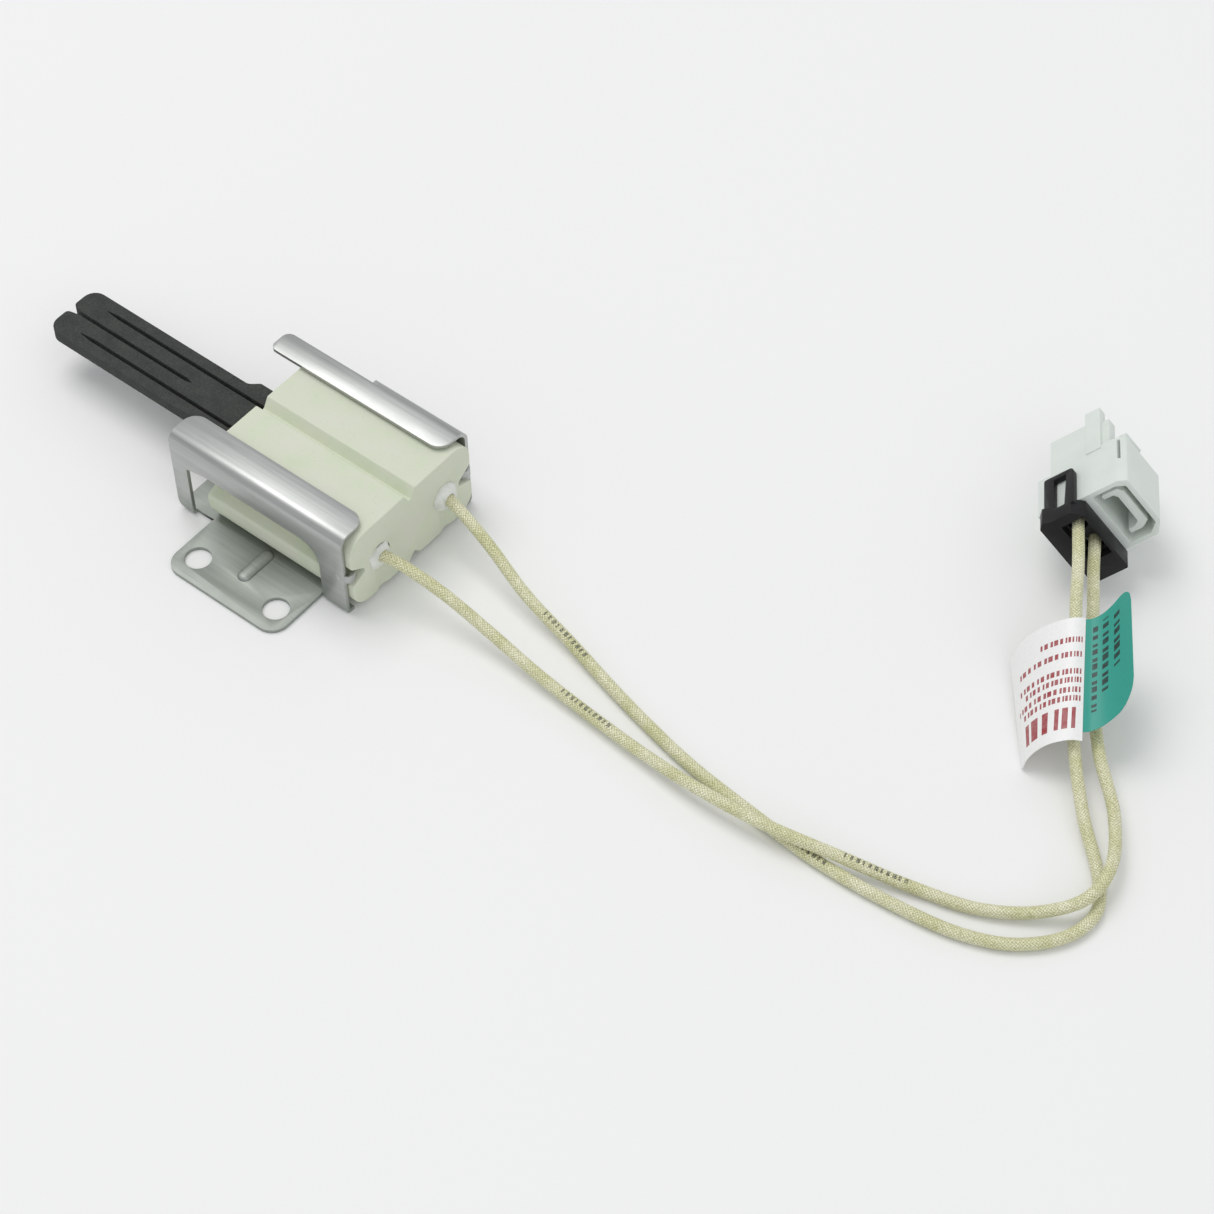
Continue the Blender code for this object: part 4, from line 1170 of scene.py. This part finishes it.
def latch_side():
    """The lever seen from the side, about its pivot: thumb pad, root, arm and hook."""
    return rounded([
        (-7.8 * MM, 0.8 * MM, 0),
        (-4.0 * MM, 0.8 * MM, 0),
        (-0.8 * MM, -0.7 * MM, 0.3 * MM),
        (0.8 * MM, -0.7 * MM, 0.3 * MM),
        (4.0 * MM, 0.6 * MM, 0),
        (11.6 * MM, 0.6 * MM, 0.2 * MM),
        (11.6 * MM, 2.6 * MM, 0.2 * MM),
        (10.4 * MM, 1.7 * MM, 0),
        (0.0 * MM, 1.7 * MM, 0),
        (-3.6 * MM, 2.1 * MM, 0),
        (-5.6 * MM, 2.4 * MM, 0),
        (-7.8 * MM, 2.4 * MM, 0.3 * MM),
    ], 4)


def pad_outline(inset):
    """The skirted thumb pad seen from behind: flat on top, its far shoulder rounded off."""
    reach = PAD_HALF_WIDTH - inset
    low = -1.9 * MM
    high = 2.1 * MM - inset
    return rounded([
        (-reach, low, 0.2 * MM),
        (reach, low, 0.2 * MM),
        (reach, high - 0.6 * MM, 0.3 * MM),
        (reach - 0.9 * MM, high, 0.3 * MM),
        (-reach + 0.9 * MM, high, 0.8 * MM),
        (-reach, high - 1.5 * MM, 0.8 * MM),
    ], 5)


def make_latch(finish, place):
    """The lever with its skirted pad, split in front of the pivot into a middle arm."""
    half = LATCH_HALF_WIDTH
    piece = to_object("plug_latch", prism(latch_side(), "Y", -half, half), finish, place)
    join(piece, rod("Y", (0, 0), 0.9 * MM, -half - 1.6 * MM, half + 1.6 * MM, 24))
    pad = to_object("plug_latch_pad", prism(pad_outline(0), "X", -7.8 * MM, -2.6 * MM), None, place)
    hollow = [(y, z - 0.4 * MM) for y, z in pad_outline(1.0 * MM)]
    cut(pad, prism(hollow, "X", -9 * MM, -MM))
    shape = bmesh.new()
    shape.from_mesh(pad.data)
    bpy.data.objects.remove(pad)
    join(piece, shape)
    for side in (-1, 1):
        ends = sorted((side * 2.6 * MM, side * (half + MM)))
        cut(piece, block((2.2 * MM, ends[0], -3 * MM), (12.5 * MM, ends[1], 6 * MM)))
    soften(piece, 0.15 * MM, 2, 40)
    piece.location = LATCH_PIVOT
    return piece


def make_connector():
    """The three pieces, built in the connector's own frame and then set down in the model's."""
    place = add_object("plug_place", None)
    place.location = CONNECTOR_AT
    place.rotation_euler = CONNECTOR_TURN
    grey = nylon_material()
    housing = make_housing(grey, place)
    retainer = make_retainer(black_nylon_material(), place)
    latch = make_latch(grey, place)
    bpy.context.view_layer.update()
    for piece, body, node in ((housing, "igniter", "connector_housing"),
                              (retainer, "retainer", "connector_retainer"),
                              (latch, "latch", "connector_latch")):
        piece.data.transform(piece.matrix_world)
        piece.parent = None
        piece.matrix_world = Matrix.Identity(4)
        finish_piece(piece, body, node)
    bpy.data.objects.remove(place)
    return [housing, retainer, latch]


# ---- assembly

def dress(node, finish):
    """Gives a frame node that stays as it is a better material."""
    piece = bpy.data.objects[node]
    for slot in piece.material_slots:
        slot.material = finish
    if not piece.material_slots:
        piece.data.materials.append(finish)


def dress_metal():
    """Terminals, contacts and bared cores keep the frame's own shapes."""
    nickel = plated_material("nickel_plate", (0.70, 0.67, 0.60), (0.52, 0.49, 0.43))
    tin = plated_material("tin_plate", (0.78, 0.78, 0.76), (0.62, 0.62, 0.60))
    copper = plated_material("plated_strands", (0.74, 0.66, 0.55), (0.55, 0.46, 0.36))
    for side, _ in LEADS:
        dress("element_terminal_" + side, nickel)
        dress("contact_" + side, tin)
        dress("lead_core_" + side, copper)
        dress("contact_core_" + side, copper)


def main():
    make_camera()
    braid = braid_material()
    leads = {side: make_lead(side, braid) for side, _ in LEADS}
    make_stage()

    make_ceramic_block(ceramic_material())
    make_element(carbide_material())
    steel = steel_material()
    make_bracket(steel)
    make_tongue("tongue_left", WALL_LEFT, 1, steel)
    make_tongue("tongue_right", WALL_RIGHT, -1, steel)
    cement = cement_material()
    for side, _ in LEADS:
        make_rear_cement(side, cement)
    dress("front_cement", cement)
    dress_metal()
    white_label = make_white_label()
    teal_label = make_teal_label()
    plug = make_connector()

    for side, side_sign in LEADS:
        lead, points, length = leads[side]
        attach(lead, "igniter")
        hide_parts("lead_" + side)


main()
